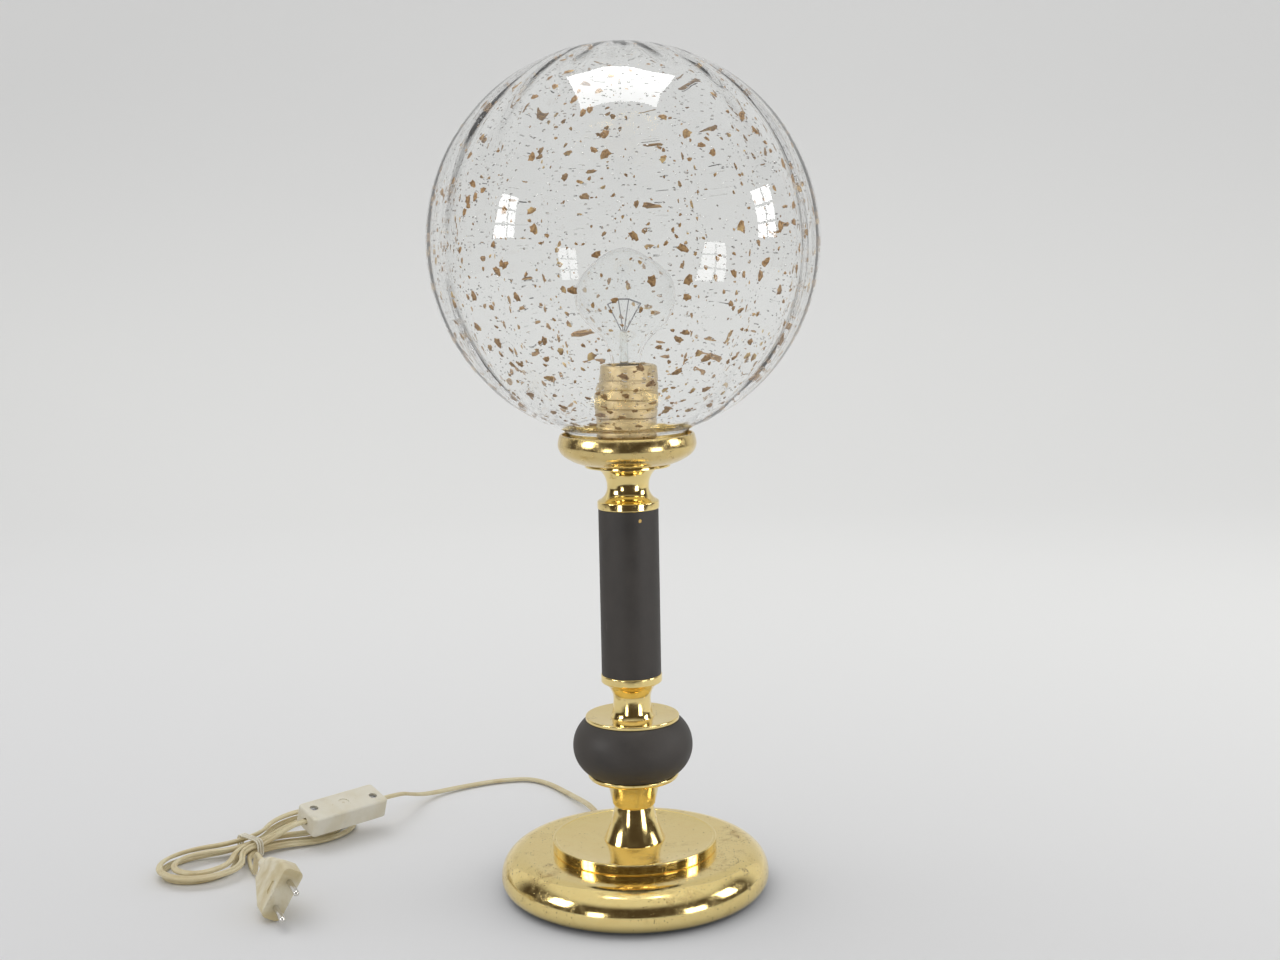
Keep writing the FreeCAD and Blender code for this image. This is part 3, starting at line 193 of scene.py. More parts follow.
class Surface(Graph):
    """The node tree of a new material."""

    def __init__(self, name: str) -> None:
        """Start an empty material.

        Args:
            name: the material's name.
        """
        self.material = bpy.data.materials.new(name)
        self.material.use_nodes = True
        super().__init__(self.material.node_tree)
        self.output = self.add("ShaderNodeOutputMaterial")

    def own(self) -> Socket:
        """Give the object's own coordinates."""
        return self.add("ShaderNodeTexCoord").outputs["Object"]

    def place(self, scale: Sequence[float] = (1, 1, 1)) -> Socket:
        """Give the object's own coordinates, stretched."""
        return self.add("ShaderNodeMapping", {"Vector": self.own(), "Scale": scale}).outputs[0]

    def away(self, point: Sequence[float]) -> Socket:
        """Give the distance from a point."""
        node = self.add("ShaderNodeVectorMath", {0: self.own(), 1: point}, operation="DISTANCE")
        return node.outputs["Value"]

    def noise(self, scale: float, detail: float = 3.0, stretch: Sequence[float] = (1, 1, 1),
              rough: float = 0.55, warp: float = 0.0) -> Socket:
        """Give a noise between 0 and 1.

        Args:
            scale: cells per metre.
            detail: octaves.
            stretch: the stretch along each axis.
            rough: how strong the fine octaves are.
            warp: the noise's own distortion.

        Returns:
            The factor output.
        """
        node = self.add("ShaderNodeTexNoise", {"Vector": self.place(stretch), "Scale": scale,
                                               "Detail": detail, "Roughness": rough, "Distortion": warp})
        return node.outputs["Fac"]

    def cells(self, scale: float, tall: float = 1.0) -> tuple[Socket, Any]:
        """Give a cell texture.

        Args:
            scale: cells per metre.
            tall: the stretch along Z.

        Returns:
            The distance from the cell's point, and three draws for the cell.
        """
        node = self.add("ShaderNodeTexVoronoi", {"Vector": self.place((1.0, 1.0, tall)), "Scale": scale})
        draws = self.add("ShaderNodeSeparateColor", {0: node.outputs["Color"]}).outputs
        return node.outputs["Distance"], draws

    def bump(self, height: Any, distance: float, strength: float = 1.0,
             under: Socket | None = None) -> Socket:
        """Give a bumped normal.

        Args:
            height: the height between 0 and 1.
            distance: the real height in metres.
            strength: how much of it shows.
            under: a normal to add to.

        Returns:
            The normal output.
        """
        inputs: dict[Any, Any] = {"Height": height, "Distance": distance, "Strength": strength}
        if under is not None:
            inputs["Normal"] = under
        return self.add("ShaderNodeBump", inputs).outputs[0]

    def marks(self, colour: Any, places: Sequence[Sequence[float]], stain: Any) -> tuple[Any, Any]:
        """Lay ragged stains at chosen places.

        Args:
            colour: the colour under them.
            places: each stain's place and reach, in millimetres.
            stain: the stains' colour.

        Returns:
            The stained colour, and how much of it is stained.
        """
        if not places:
            return colour, 0.0
        ragged = self.noise(760.0, 5.0, rough=0.78)
        share: Any = 0.0
        for x, y, z, reach in places:
            near = self.span(self.away((x * MM, y * MM, z * MM)), reach * MM, reach * 0.2 * MM)
            worn = self.math("ADD", self.times(near, 0.55), ragged)
            share = self.math("MAXIMUM", share, self.span(worn, 0.98, 1.16, 0.0, 0.9))
        return self.blend(share, colour, stain), share

    def finish(self, inputs: dict[str, Any]) -> Material:
        """Add the surface shader and give the material."""
        self.feed(self.output.inputs["Surface"], self.add("ShaderNodeBsdfPrincipled", inputs).outputs[0])
        return self.material


def toned(colour: Colour, *shares: float) -> Colour:
    """Darken or lighten a colour."""
    each = shares if len(shares) == 3 else shares * 3
    return (colour[0] * each[0], colour[1] * each[1], colour[2] * each[2], 1.0)


@dataclass(frozen=True)
class Brass:
    """Polished brass that has aged."""

    name: str
    colour: Colour = (0.93, 0.745, 0.325, 1.0)
    dark: Colour = (0.23, 0.135, 0.055, 1.0)
    roughness: float = 0.13
    tarnish: float = 0.25
    pits: float = 0.15
    lines: float = 0.25
    marks: tuple[Mark, ...] = ()

    def make(self) -> Material:
        """Build the material.

        Returns:
            The material.
        """
        graph = Surface(self.name)
        cloud = graph.noise(26.0, 6.0, rough=0.62, warp=0.6)
        blotch = graph.noise(95.0, 5.0, rough=0.7, warp=1.2)
        near, draws = graph.cells(620.0)
        speck = graph.times(graph.span(near, 0.30, 0.12),
                           graph.span(draws[0], 1.0 - 0.42 * self.pits, 1.0))
        pit = graph.times(speck, graph.span(cloud, 0.42, 0.58))
        stain = graph.times(graph.span(cloud, 0.50, 0.74), graph.span(blotch, 0.44, 0.66))
        dull = graph.times(stain, self.tarnish)
        warm = graph.blend(graph.span(blotch, 0.3, 0.7, 0.0, 0.35), self.colour,
                           toned(self.colour, 0.94, 0.86, 0.72))
        stained = graph.blend(dull, warm, self.dark)
        colour = graph.blend(graph.math("MINIMUM", graph.times(pit, 3.0), 1.0), stained,
                             (0.10, 0.055, 0.025, 1.0))
        colour, marked = graph.marks(colour, self.marks, (0.17, 0.125, 0.08, 1.0))
        dull = graph.math("MAXIMUM", dull, marked)
        rough = graph.math("ADD", graph.times(dull, 0.45),
                           graph.span(graph.noise(240.0, 4.0), 0.3, 0.8, self.roughness * 0.8,
                                      self.roughness * 1.6))
        turning = graph.noise(900.0, 2.0, stretch=(0.02, 0.02, 1.0))
        normal = graph.bump(graph.noise(34.0, 2.0), 0.00012, 0.35)
        normal = graph.bump(turning, 0.00003, self.lines, normal)
        normal = graph.bump(graph.math("SUBTRACT", 1.0, pit), 0.00015, 0.8, normal)
        return graph.finish({"Base Color": colour, "Metallic": 1.0, "Roughness": rough, "Normal": normal,
                             "Coat Weight": 0.05, "Coat Roughness": 0.08})


@dataclass(frozen=True)
class BrownCoat:
    """The matt dark brown coating of the tube and the ball."""

    name: str
    colour: Colour = (0.0375, 0.032, 0.028, 1.0)
    chip: Place = (0.0, 0.0, -1.0)

    def make(self) -> Material:
        """Build the material.

        Returns:
            The material.
        """
        graph = Surface(self.name)
        wide = graph.noise(30.0, 5.0, rough=0.6)
        grain = graph.noise(2600.0, 3.0)
        scratch = graph.span(graph.noise(420.0, 2.0, stretch=(1.0, 1.0, 0.07), warp=0.5), 0.735, 0.765)
        rubs = graph.times(scratch, graph.span(wide, 0.5, 0.62))
        base = graph.blend(graph.span(wide, 0.3, 0.7), self.colour, toned(self.colour, 1.45))
        dusty = graph.blend(graph.span(grain, 0.55, 0.8, 0.0, 0.5), base, (0.085, 0.074, 0.066, 1.0))
        rubbed = graph.blend(graph.times(rubs, 0.5), dusty, (0.20, 0.18, 0.16, 1.0))
        wavy = graph.math("ADD", graph.away(self.chip), graph.times(graph.noise(900.0, 2.0), 0.0016))
        chip = graph.span(wavy, 0.0021, 0.0017)
        colour = graph.blend(chip, rubbed, (0.62, 0.42, 0.14, 1.0))
        normal = graph.bump(graph.noise(1500.0, 4.0), 0.00006, 0.5)
        return graph.finish({"Base Color": colour, "Metallic": graph.times(chip, 0.8),
                             "Roughness": graph.span(wide, 0.3, 0.7, 0.50, 0.64), "Normal": normal,
                             "Specular IOR Level": 0.42})


@dataclass(frozen=True)
class Moulding:
    """Moulded plastic or soft flex, with yellowing and handling marks."""

    name: str
    colour: Colour
    aged: Colour
    roughness: float = 0.38
    bump: float = 0.00005
    dirt: float = 0.25
    soft: float = 0.06
    marks: tuple[Mark, ...] = ()

    def make(self) -> Material:
        """Build the material.

        Returns:
            The material.
        """
        graph = Surface(self.name)
        patch = graph.noise(48.0, 4.0, warp=0.4)
        smudge = graph.span(graph.noise(130.0, 5.0, rough=0.68), 0.56, 0.78, 0.0, self.dirt)
        aged = graph.blend(graph.span(patch, 0.35, 0.68), self.colour, self.aged)
        colour = graph.blend(smudge, aged, toned(self.aged, 0.45))
        colour = graph.marks(colour, self.marks, (0.50, 0.41, 0.22, 1.0))[0]
        normal = graph.bump(graph.noise(1700.0, 3.0), self.bump, 0.5)
        normal = graph.bump(graph.noise(160.0, 2.0), 0.0002, 0.25, normal)
        rough = graph.span(graph.noise(210.0, 3.0), 0.3, 0.7, self.roughness * 0.85, self.roughness * 1.25)
        return graph.finish({"Base Color": colour, "Roughness": rough, "Normal": normal,
                             "Subsurface Weight": self.soft, "Subsurface Radius": (0.004, 0.003, 0.002)})


@dataclass(frozen=True)
class PlainMetal:
    """Zinc, nickel, steel or rolled aluminium."""

    name: str
    colour: Colour
    roughness: float = 0.28
    stains: float = 0.3

    def make(self) -> Material:
        """Build the material.

        Returns:
            The material.
        """
        graph = Surface(self.name)
        patch = graph.noise(120.0, 5.0, rough=0.65)
        stain = graph.span(patch, 0.5, 0.75, 0.0, self.stains)
        colour = graph.blend(stain, self.colour, toned(self.colour, 0.4))
        rough = graph.span(patch, 0.3, 0.8, self.roughness * 0.8, self.roughness * 1.6)
        normal = graph.bump(graph.noise(2200.0, 2.0, stretch=(1.0, 1.0, 0.15)), 0.00003, 0.5)
        return graph.finish({"Base Color": colour, "Metallic": 1.0, "Roughness": rough, "Normal": normal})


@dataclass(frozen=True)
class Matt:
    """Felt, cast iron, porcelain or soft rubber."""

    name: str
    colour: Colour
    second: Colour
    roughness: float = 0.8
    scale: float = 600.0
    height: float = 0.0002
    sheen: float = 0.0

    def make(self) -> Material:
        """Build the material.

        Returns:
            The material.
        """
        graph = Surface(self.name)
        fine = graph.noise(self.scale, 5.0, rough=0.7)
        wide = graph.noise(self.scale * 0.08, 3.0)
        colour = graph.blend(graph.times(graph.span(fine, 0.35, 0.65), graph.span(wide, 0.3, 0.7)),
                             self.colour, self.second)
        normal = graph.bump(fine, self.height, 0.6)
        rough = graph.span(wide, 0.3, 0.7, self.roughness * 0.9, self.roughness)
        return graph.finish({"Base Color": colour, "Roughness": rough, "Normal": normal,
                             "Sheen Weight": self.sheen})


@dataclass(frozen=True)
class Glass:
    """Clear glass that lets its shadow's light through."""

    name: str
    tint: Colour = (0.985, 0.99, 0.985, 1.0)
    ior: float = 1.5
    waves: float = 0.0
    seeds: float = 0.0
    shade: float = 0.93

    def make(self) -> Material:
        """Build the material.

        Returns:
            The material.
        """
        graph = Surface(self.name)
        tint: Any = self.tint
        normal: Any = None
        if self.waves:
            normal = graph.bump(graph.noise(40.0, 0.0, stretch=(1.0, 1.0, 0.5)), 0.0020, self.waves)
        if self.seeds:
            flaws = []
            for scale, tall, draw, wide, narrow, least, full in ((300.0, 1.5, 1, 0.26, 0.12, 0.86, 0.90),
                                                                 (190.0, 3.4, 0, 0.24, 0.10, 0.88, 0.92)):
                near, draws = graph.cells(scale, tall)
                flaws.append(graph.times(graph.span(near, wide, narrow),
                                        graph.span(draws[draw], least, full)))
            flaw = graph.math("MAXIMUM", *flaws)
            tint = graph.blend(graph.times(flaw, self.seeds), self.tint, (0.36, 0.33, 0.28, 1.0))
            normal = graph.bump(flaw, 0.0009, 0.9, normal)
        inputs: dict[str, Any] = {"Base Color": tint, "Roughness": 0.0, "IOR": self.ior,
                                  "Transmission Weight": 1.0}
        if normal is not None:
            inputs["Normal"] = normal
        shader = graph.add("ShaderNodeBsdfPrincipled", inputs)
        clear = graph.add("ShaderNodeBsdfTransparent", {"Color": (self.shade, self.shade, self.shade, 1.0)})
        ray = graph.add("ShaderNodeLightPath")
        through = graph.math("MAXIMUM", ray.outputs["Is Shadow Ray"], ray.outputs["Is Diffuse Ray"])
        mix = graph.add("ShaderNodeMixShader", {0: through, 1: shader.outputs[0], 2: clear.outputs[0]})
        graph.feed(graph.output.inputs["Surface"], mix.outputs[0])
        return graph.material


@dataclass(frozen=True)
class Flake:
    """The gold-brown flakes in the globe's glass."""

    name: str

    def make(self) -> Material:
        """Build the material.

        Returns:
            The material.
        """
        graph = Surface(self.name)
        mottle = graph.noise(700.0, 4.0, rough=0.65)
        colour = graph.blend(graph.span(mottle, 0.35, 0.65), (0.42, 0.26, 0.11, 1.0),
                             (0.17, 0.088, 0.035, 1.0))
        light = graph.blend(graph.span(graph.noise(90.0, 2.0), 0.52, 0.72), colour, (0.58, 0.42, 0.19, 1.0))
        normal = graph.bump(mottle, 0.0004, 0.8)
        return graph.finish({"Base Color": light, "Metallic": 0.35, "Roughness": 0.5, "Normal": normal})


def finishes() -> dict[str, Material]:
    """Make every material of the lamp.

    Returns:
        The materials by name.
    """
    kinds = (
        Brass("brass_base", tarnish=0.75, pits=0.9, lines=0.2, marks=BASE_MARKS),
        Brass("brass_disc", tarnish=0.55, pits=0.5, lines=0.5, roughness=0.11, marks=DISC_MARKS),
        Brass("brass_column", tarnish=0.3, pits=0.3),
        Brass("brass_gallery", colour=(0.76, 0.595, 0.265, 1.0), tarnish=0.35, pits=0.25, roughness=0.2),
        Brass("brass_holder", colour=(0.57, 0.45, 0.26, 1.0), tarnish=0.5, pits=0.2, roughness=0.3,
              lines=0.6),
        Brass("brass_inner", colour=(0.62, 0.46, 0.19, 1.0), tarnish=0.6, roughness=0.3),
        BrownCoat("brown_tube", chip=(0.0075, -0.0183, 0.2525)),
        BrownCoat("brown_ball", colour=(0.039, 0.033, 0.0285, 1.0)),
        Moulding("ivory_flex", (0.70, 0.62, 0.40, 1.0), (0.60, 0.49, 0.27, 1.0), 0.42, dirt=0.3),
        Moulding("ivory_switch", (0.745, 0.705, 0.59, 1.0), (0.68, 0.62, 0.47, 1.0), 0.34, dirt=0.18,
                 marks=SWITCH_MARKS),
        Moulding("ivory_plug", (0.76, 0.70, 0.54, 1.0), (0.60, 0.50, 0.28, 1.0), 0.36, dirt=0.35),
        Moulding("tie_plastic", (0.80, 0.77, 0.66, 1.0), (0.66, 0.60, 0.46, 1.0), 0.4),
        PlainMetal("zinc_steel", (0.60, 0.60, 0.61, 1.0)),
        PlainMetal("nickel_pins", (0.72, 0.70, 0.66, 1.0), 0.16, 0.5),
        PlainMetal("rolled_aluminium", (0.74, 0.73, 0.71, 1.0), 0.24),
        PlainMetal("solder", (0.50, 0.50, 0.51, 1.0), 0.4),
        PlainMetal("dark_wire", (0.22, 0.22, 0.23, 1.0), 0.35),
        Matt("felt", (0.05, 0.085, 0.06, 1.0), (0.09, 0.14, 0.10, 1.0), 0.95, 1400.0, 0.0006, 0.5),
        Matt("cast_iron", (0.055, 0.052, 0.05, 1.0), (0.11, 0.10, 0.095, 1.0), 0.75, 500.0, 0.0005),
        Matt("porcelain", (0.80, 0.79, 0.75, 1.0), (0.74, 0.72, 0.66, 1.0), 0.16, 200.0, 0.00004),
        Matt("seat_rubber", (0.60, 0.56, 0.46, 1.0), (0.50, 0.45, 0.34, 1.0), 0.6, 900.0, 0.0001),
        Matt("black_glass", (0.012, 0.012, 0.014, 1.0), (0.02, 0.02, 0.022, 1.0), 0.1, 300.0, 0.00003),
        Glass("globe_glass", waves=0.34, seeds=0.5, ior=1.38, shade=0.97),
        Glass("bulb_glass", (0.985, 0.99, 0.99, 1.0)),
        Glass("stem_glass", (0.93, 0.95, 0.94, 1.0)),
        Flake("gold_flakes"),
    )
    made = {kind.name: kind.make() for kind in kinds}
    LOG.info("%d materials: %s", len(made), ", ".join(made))
    return made


# ---------------------------------------------------------------- shapes
class Outline:
    """The half section of a turned piece, as complex points r + zj in millimetres."""

    def __init__(self, r: float, z: float) -> None:
        """Start at a radius and a height."""
        self.points = [complex(r, z)]
        self.heading = complex(1.0)

    def line(self, r: float, z: float) -> "Outline":
        """Draw a straight edge.

        Args:
            r: radius at its end.
            z: height at its end.

        Returns:
            The outline.
        """
        edge = complex(r, z) - self.points[-1]
        self.heading = edge / abs(edge)
        self.points.append(complex(r, z))
        return self

    def face(self, degrees: float) -> "Outline":
        """Turn to a heading: 0 is outwards and 90 is up."""
        self.heading = cmath.rect(1.0, math.radians(degrees))
        return self

    def curve(self, r: float, z: float) -> "Outline":
        """Draw the arc that leaves along the heading.

        Args:
            r: radius at its end.
            z: height at its end.

        Returns:
            The outline.
        """
        start = self.points[-1]
        chord = complex(r, z) - start
        half = cmath.phase(chord / self.heading)
        if abs(half) < 1e-5:
            return self.line(r, z)
        arm = self.heading * 1j * abs(chord) / 2 / math.sin(half)
        steps = max(4, int(abs(half) * 2 / math.radians(3.5)))
        turns = [cmath.rect(1.0, 2 * half * step / steps) for step in range(1, steps + 1)]
        self.points += [start + arm - arm * turn for turn in turns]
        self.heading *= turns[-1]
        return self

    def softened(self, radius: float, corner: float = 24.0) -> list[complex]:
        """Round the sharp corners.

        Args:
            radius: how far from a corner the rounding starts, in millimetres.
            corner: the least turn in degrees that counts as a corner.

        Returns:
            The points.
        """
        out: list[complex] = []
        for i, here in enumerate(self.points):
            come, go = here - self.points[i - 1], self.points[(i + 1) % len(self.points)] - here
            if min(abs(come), abs(go)) < 1e-6:
                continue
            if math.degrees(abs(cmath.phase(go / come))) < corner:
                out.append(here)
                continue
            cut = min(radius, abs(come) * 0.42, abs(go) * 0.42)
            start, end = here - come / abs(come) * cut, here + go / abs(go) * cut
            out += [(1 - t) ** 2 * start + 2 * t * (1 - t) * here + t * t * end
                    for t in (0.0, 0.25, 0.5, 0.75, 1.0)]
        return out


def mesh_object(name: str, vertices: Iterable[Sequence[float]], faces: Iterable[Sequence[int]],
                material: Material, sharp: float = 40.0) -> Thing:
    """Make a smooth-shaded object with its faces outwards.

    Args:
        name: the object's name.
        vertices: points in metres.
        faces: loops of point numbers.
        material: its material.
        sharp: the turn in degrees past which an edge stays sharp.

    Returns:
        The object.
    """
    mesh = bpy.data.meshes.new(name)
    mesh.from_pydata([tuple(v) for v in vertices], [], [tuple(f) for f in faces])
    work = bmesh.new()
    work.from_mesh(mesh)
    bmesh.ops.remove_doubles(work, verts=work.verts, dist=1e-7)
    bmesh.ops.recalc_face_normals(work, faces=work.faces)
    for face in work.faces:
        face.smooth = True
    work.to_mesh(mesh)
    work.free()
    mesh.set_sharp_from_angle(angle=math.radians(sharp))
    mesh.materials.append(material)
    thing = bpy.data.objects.new(name, mesh)
    bpy.context.scene.collection.objects.link(thing)
    LOG.info("piece %s: %d faces", name, len(mesh.polygons))
    return thing


def quads(rows: int, size: int, ring: bool, loop: bool) -> list[tuple[int, ...]]:
    """Give the faces between rows of points.

    Args:
        rows: how many rows there are.
        size: how many points a row has.
        ring: whether the last row meets the first.
        loop: whether a row's last point meets its first.

    Returns:
        The faces as loops of point numbers.
    """
    faces = []
    for row in range(rows if ring else rows - 1):
        here, there = row * size, (row + 1) % rows * size
        for i in range(size if loop else size - 1):
            j = (i + 1) % size
            faces.append((here + i, here + j, there + j, there + i))
    return faces


def baked(thing: Thing) -> bpy.types.Mesh:
    """Give the mesh that a curve or a node tree makes."""
    return bpy.data.meshes.new_from_object(thing.evaluated_get(bpy.context.evaluated_depsgraph_get()))


def rings(outline: Sequence[complex], segments: int, shift: Shift | None = None) -> list[Place]:
    """Repeat an outline's points at every step round the Z axis.

    Args:
        outline: points r + zj in millimetres.
        segments: how many steps go round.
        shift: gives the change of radius at (r, z, angle), in millimetres.

    Returns:
        The points in metres.
    """
    vertices = []
    for angle in (2 * math.pi * step / segments for step in range(segments)):
        for point in outline:
            r, z = point.real, point.imag
            if shift and r > ON_AXIS:
                r += shift(r, z, angle)
            vertices.append((r * math.cos(angle) * MM, r * math.sin(angle) * MM, z * MM))
    return vertices


def spun(name: str, outline: Sequence[complex], material: Material, segments: int = 144,
         shift: Shift | None = None) -> Thing:
    """Spin a closed outline about the Z axis.

    Args:
        name: the object's name.
        outline: points r + zj in millimetres; the last meets the first.
        material: its material.
        segments: how many steps go round.
        shift: gives the change of radius at (r, z, angle), in millimetres.

    Returns:
        The object.
    """
    count = len(outline)
    faces = []
    for here, above, across, beside in quads(segments, count, True, True):
        pole, pole_above = (outline[number % count].real < ON_AXIS for number in (here, above))
        if pole and pole_above:
            continue
        corners = [here, beside, across, above]
        if pole or pole_above:
            corners.remove(beside if pole else above)
        faces.append(corners)
    return mesh_object(name, rings(outline, segments, shift), faces, material)


@dataclass
class Workshop:
    """What every maker of pieces shares: the frame and the finishes."""

    frame: dict[str, Any]
    finishes: dict[str, Material]

    def paint(self, **nodes: str) -> None:
        """Give nodes of the model their materials.

        Args:
            **nodes: each node's material by name.
        """
        for node, finish in nodes.items():
            thing = self.frame["nodes"][node]
            if not thing.material_slots:
                thing.data.materials.append(self.finishes[finish])
            for place in thing.material_slots:
                place.material = self.finishes[finish]
            LOG.info("node %s: %s", node, finish)

    def seat(self, thing: Thing, body: Body, slot: str, *nodes: str) -> None:
        """Make a piece ride on a body and stand for nodes.

        Args:
            thing: the piece.
            body: the body that it rides on.
            slot: the record's material slot; not used.
            *nodes: the nodes that it replaces.
        """
        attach(thing, body.value)
        if nodes:
            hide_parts(*nodes)

    def turned(self, name: str, line: "Outline", finish: str, slot: str, node: str,
               segments: int = 144, soft: float = 0.25) -> None:
        """Spin one piece of the lamp, soften its corners and seat it."""
        piece = spun(name, line.softened(soft), self.finishes[finish], segments)
        self.seat(piece, Body.LAMP, slot, node)


# ---------------------------------------------------------------- camera and light
@dataclass(frozen=True)
class Viewpoint:
    """Where the photograph was taken from, in metres and degrees."""

    height: float = 0.4164
    back: float = 1.0326
    pitch: float = 7.701
    yaw: float = 0.4425
    roll: float = 1.0535
    lens: float = 44.77
    sensor: float = 36.0

    def make(self) -> None:
        """Make the scene's camera."""
        pitch, yaw, roll = (math.radians(a) for a in (self.pitch, self.yaw, self.roll))
        ahead = Vector((math.sin(yaw) * math.cos(pitch), math.cos(yaw) * math.cos(pitch), -math.sin(pitch)))
        level = ahead.cross(Vector((0, 0, 1))).normalized()
        under = ahead.cross(level)
        right = level * math.cos(roll) + under * math.sin(roll)
        up = level * math.sin(roll) - under * math.cos(roll)
        lens = bpy.data.cameras.new("camera")
        lens.sensor_width = self.sensor
        lens.lens = self.lens
        camera = bpy.data.objects.new("camera", lens)
        turn = Matrix((right, up, -ahead)).transposed()
        camera.matrix_world = Matrix.Translation((0.0, -self.back, self.height)) @ turn.to_4x4()
        bpy.context.scene.collection.objects.link(camera)
        bpy.context.scene.camera = camera


@dataclass(frozen=True)
class Softbox:
    """One studio light: a window, which is only mirrored, or a fill, which only lights."""

    name: str
    place: Place
    width: float
    height: float
    radiance: float
    fill: bool = False
    panes: tuple[int, int] = (0, 0)
    opening: float = 0.43
    aim: Place = (0.0, 0.0, 0.3)

    def glaze(self, lamp: bpy.types.Light) -> None:
        """Cross the light with darker glazing bars.

        Args:
            lamp: the light.
        """
        lamp.use_nodes = True
        graph = Graph(lamp.node_tree)
        place = graph.split(graph.add("ShaderNodeNewGeometry").outputs["Parametric"])
        clear = []
        for axis, count in enumerate(self.panes):
            share = graph.math("FRACT", graph.times(place[axis], float(count)))
            off = graph.math("ABSOLUTE", graph.math("SUBTRACT", share, 0.5))
            clear.append(graph.math("LESS_THAN", off, self.opening))
        glow = graph.add("ShaderNodeEmission", {"Strength": graph.times(*clear)})
        graph.add("ShaderNodeOutputLight", {"Surface": glow.outputs[0]})

    def make(self) -> None:
        """Hang the light."""
        lamp = bpy.data.lights.new(self.name, "AREA")
        lamp.shape = "RECTANGLE"
        lamp.size, lamp.size_y = self.width, self.height
        lamp.energy = self.radiance * math.pi * self.width * self.height
        if self.panes[0]:
            self.glaze(lamp)
        thing = bpy.data.objects.new(self.name, lamp)
        thing.location = self.place
        thing.rotation_mode = "QUATERNION"
        thing.rotation_quaternion = (Vector(self.aim) - Vector(self.place)).to_track_quat("-Z", "Y")
        thing.visible_diffuse = self.fill
        thing.visible_glossy = not self.fill
        thing.visible_camera = thing.visible_transmission = False
        bpy.context.scene.collection.objects.link(thing)


